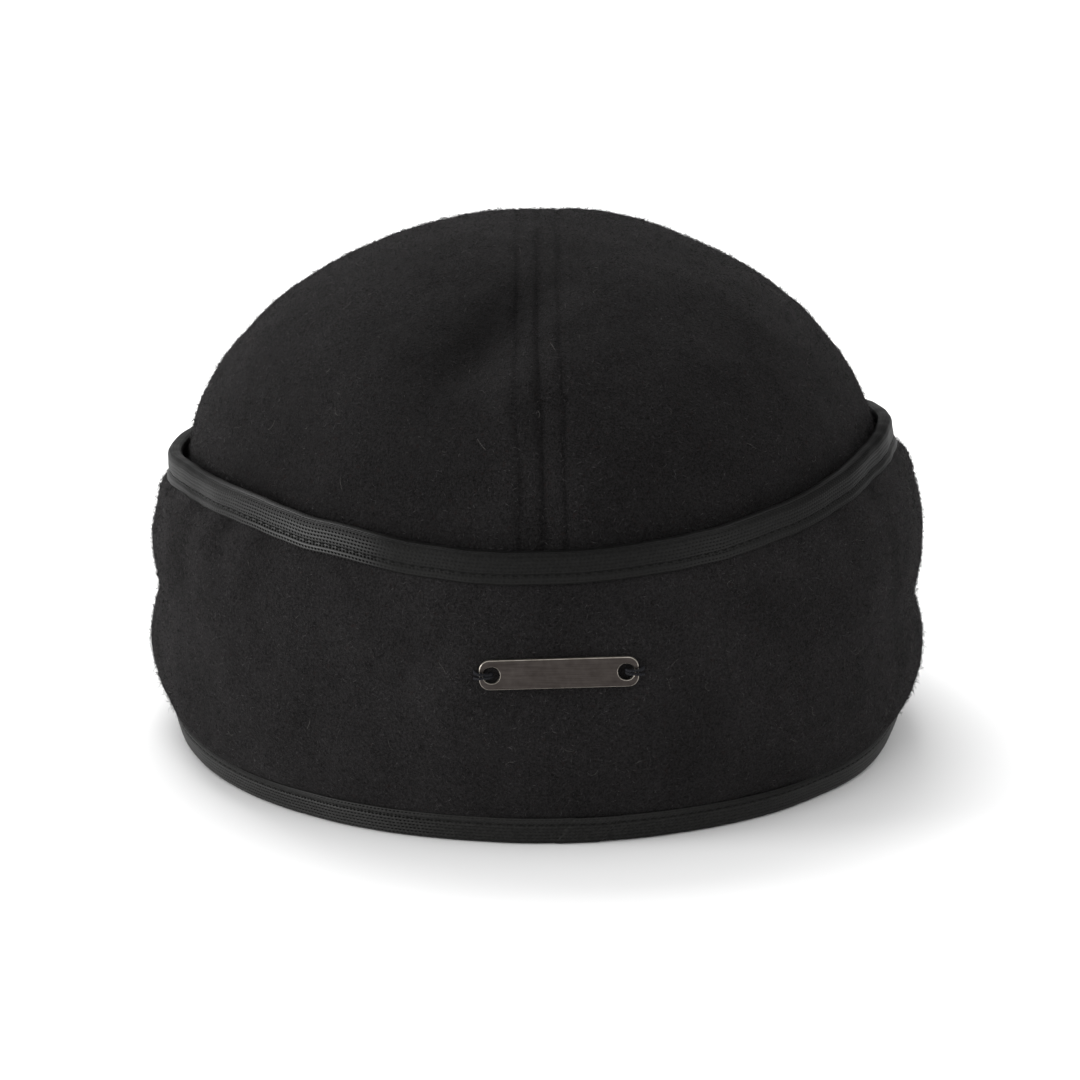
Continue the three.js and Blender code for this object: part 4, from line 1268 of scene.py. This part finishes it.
def nap_mesh(name, spots, normal, along, rng, shade, length=(0.5, 2.0), radius=0.05, stand=0.3):
    """Needles with a pointed root in the cloth, a triangle where they bend and a pointed tip.
    The tip's height is the length times a random share that is mostly small. Each needle's
    shade is the cloth's painted light and shade, times a random tone of its own that spreads
    widely."""
    count = len(spots)
    side = np.cross(normal, along)
    turn = rng.random((count, 1)) * 2 * np.pi
    way = along * np.cos(turn) + side * np.sin(turn)
    bend = np.cross(normal, way) * rng.normal(0, 0.45, (count, 1))
    size = rng.uniform(*length, (count, 1))
    lift = stand * rng.gamma(1.3, 0.8, (count, 1)).clip(0, 4)
    middle = spots + size * (0.45 * way + 0.15 * bend) + normal * (0.09 + 0.5 * lift * size)
    tip = spots + size * (0.85 * way + 0.7 * bend) + normal * (0.04 + 0.8 * lift * size)
    wide = radius * rng.uniform(0.7, 1.25, (count, 1))
    cross = np.cross(way, normal)
    ring = [middle + wide * (a * cross + b * normal) for a, b in ((-1, -0.5), (1, -0.5), (0, 1))]
    points = np.stack([spots - 0.1 * normal, *ring, tip], axis=1)
    faces = np.array([[0, 2, 1, 1], [0, 3, 2, 2], [0, 1, 3, 3], [4, 1, 2, 2], [4, 2, 3, 3],
                      [4, 3, 1, 1]])
    quads = (faces + 5 * np.arange(count)[:, None, None]).reshape(-1, 4)
    own = (1 + shade) * rng.gamma(1.8, 0.6, count).clip(0, 2.6) - 1
    return make_piece(name, points, quads, [wool_nap], merge=False,
                      shade=np.repeat(own, 5))


# %% Nap on the crown, the band and the peak
NAP_COUNT, PEAK_NAP_COUNT, PLATE_MARGIN = 19500, 5000, 0.5
rng = np.random.default_rng(41)
for side, nodes in (("left", ("crown_back_left", "crown_front_left")),
                    ("right", ("crown_back_right", "crown_front_right"))):
    found = []
    for node in nodes:
        grid = crown_faces[node][WALL_ROWS - 1:-3]
        found.append(scatter(grid, NAP_COUNT // 2, rng, np.array([1, 1, 1.0])))
    spots, normal, along = (np.concatenate(part) for part in zip(*found))
    nap_mesh("nap_crown_" + side, spots, normal, along, rng, crown_shade(spots))

closed = np.concatenate([band_outside, band_outside[:1]])
open_rows = slice(int(BAND_ROWS * 0.10), int(BAND_ROWS * 0.90))
half_columns = BAND_COLUMNS // 2
for side, columns in (("right", slice(0, half_columns + 1)), ("left", slice(half_columns, None))):
    grid = closed[columns, open_rows]
    spots, normal, along = scatter(grid, NAP_COUNT, rng, np.array([1, 1, 0.0]))
    beside = np.abs(spots[:, 0] - LABEL_OFFSET) < LABEL_LENGTH / 2 + PLATE_MARGIN
    level = np.abs(spots[:, 2] - LABEL_CENTRE_HEIGHT) < LABEL_HEIGHT / 2 + PLATE_MARGIN
    free = ~(beside & level & (spots[:, 1] > 0))
    around = np.degrees(np.arctan2(spots[:, 0], spots[:, 1]))
    # The band's nap takes the band's painted shade and light, with random tone
    shade_and_tone = band_shade(around[:, None], spots[:, 2:])[:, 0]
    nap_mesh("nap_band_" + side, spots[free], normal[free], along[free], rng, shade_and_tone[free])
spots, normal, along = scatter(peak_top, PEAK_NAP_COUNT, rng, np.array([0, 0, 1.0]))
nap_mesh("nap_peak", spots, normal, along, rng, np.zeros(len(spots)), stand=0.15)

# %% [markdown]
# ## Lint
# Dark wool always carries a few pale hairs. Each is a thin curly tube lying on the cloth.

# %% Pale hairs
PANEL_HAIRS, BAND_HAIRS = 26, 110
rng = np.random.default_rng(57)
found = [scatter(outside[WALL_ROWS + 8:-20], PANEL_HAIRS, rng, np.array([1, 1, 1.0]))
         for outside in crown_faces.values()]
found.append(scatter(closed[:, open_rows], BAND_HAIRS, rng, np.array([1, 1, 0.0])))
spots, normal, along = (np.concatenate(part) for part in zip(*found))
count, steps = len(spots), 9
side = np.cross(normal, along)
way = rng.random(count)[:, None] * 2 * np.pi
curl = rng.normal(0, 1.1, (count, 1)) + rng.normal(0, 0.5, (count, 1)) * np.linspace(-1, 1, steps)
heading = way + curl * np.linspace(0, 1, steps)
size = (0.5 + 3.4 * rng.random((count, 1, 1)) ** 2) / steps
step = np.cos(heading)[..., None] * along[:, None] + np.sin(heading)[..., None] * side[:, None]
lift = 0.22 + 0.25 * np.abs(np.sin(heading * 1.3))[..., None]
paths = spots[:, None] + np.cumsum(step * size, axis=1) + lift * normal[:, None]
ups = np.broadcast_to(normal[:, None], paths.shape)
points, quads = tube_bundle(paths, ups, rng.uniform(0.025, 0.045, (count, 1)), 4)
make_piece("pale_hairs", points, quads, [lint_yarn])

# %% [markdown]
# ## Table, light and camera
# The cap lies on a white table. A large soft light hangs beyond the cap, a little to the wearer's
# left, so the shadow falls towards the camera and to the right. A smaller one stands low at the
# wearer's left, like a window, and gives the tape its gloss and the wool its lighter side.

# %% Table
table_mesh = bpy.data.meshes.new("table")
table_mesh.from_pydata([(-4, -4, 0), (4, -4, 0), (4, 4, 0), (-4, 4, 0)], [], [(0, 1, 2, 3)])
table = bpy.data.objects.new("table", table_mesh)
bpy.context.scene.collection.objects.link(table)
table_paint, tree, shader = new_material("table_paint")
shader.inputs["Base Color"].default_value = (0.92, 0.92, 0.92, 1)
shader.inputs["Roughness"].default_value = 0.9
shader.inputs["Specular IOR Level"].default_value = 0.1
table_mesh.materials.append(table_paint)

# %% Light
world = bpy.data.worlds.new("white_room")
bpy.context.scene.world = world
world.use_nodes = True
world.node_tree.nodes["Background"].inputs["Color"].default_value = (1, 1, 1, 1)
world.node_tree.nodes["Background"].inputs["Strength"].default_value = 1.0
bpy.context.scene.view_settings.view_transform = "Standard"


def soft_light(name, spot, aim, size, power):
    """A square area light at a spot, turned to its aim."""
    lamp = bpy.data.lights.new(name, "AREA")
    lamp.size, lamp.energy = size, power
    light = bpy.data.objects.new(name, lamp)
    light.location = spot
    light.rotation_euler = (Vector(aim) - Vector(spot)).to_track_quat("-Z", "Y").to_euler()
    bpy.context.scene.collection.objects.link(light)
    return light


OVERHEAD_SPOT, WINDOW_SPOT, LIGHT_AIM = (0.30, -1.15, 1.50), (2.0, 0.45, 0.42), (0, 0.03, 0.05)
soft_light("overhead", OVERHEAD_SPOT, LIGHT_AIM, 1.2, 27)
soft_light("window", WINDOW_SPOT, LIGHT_AIM, 0.8, 30)

# %% Camera
CAMERA_AIM = Vector((CENTRE + [-0.74, 0.0, 44.5]) / METRE)
CAMERA_WAY, CAMERA_RISE = 1.3, math.radians(15)
camera_data = bpy.data.cameras.new("camera")
camera_data.sensor_width, camera_data.lens = 36.0, 177.67
camera = bpy.data.objects.new("camera", camera_data)
outwards = Vector((0, math.cos(CAMERA_RISE), math.sin(CAMERA_RISE)))
camera.location = CAMERA_AIM + CAMERA_WAY * outwards
camera.rotation_euler = (CAMERA_AIM - camera.location).to_track_quat("-Z", "Y").to_euler()
bpy.context.scene.collection.objects.link(camera)
bpy.context.scene.camera = camera
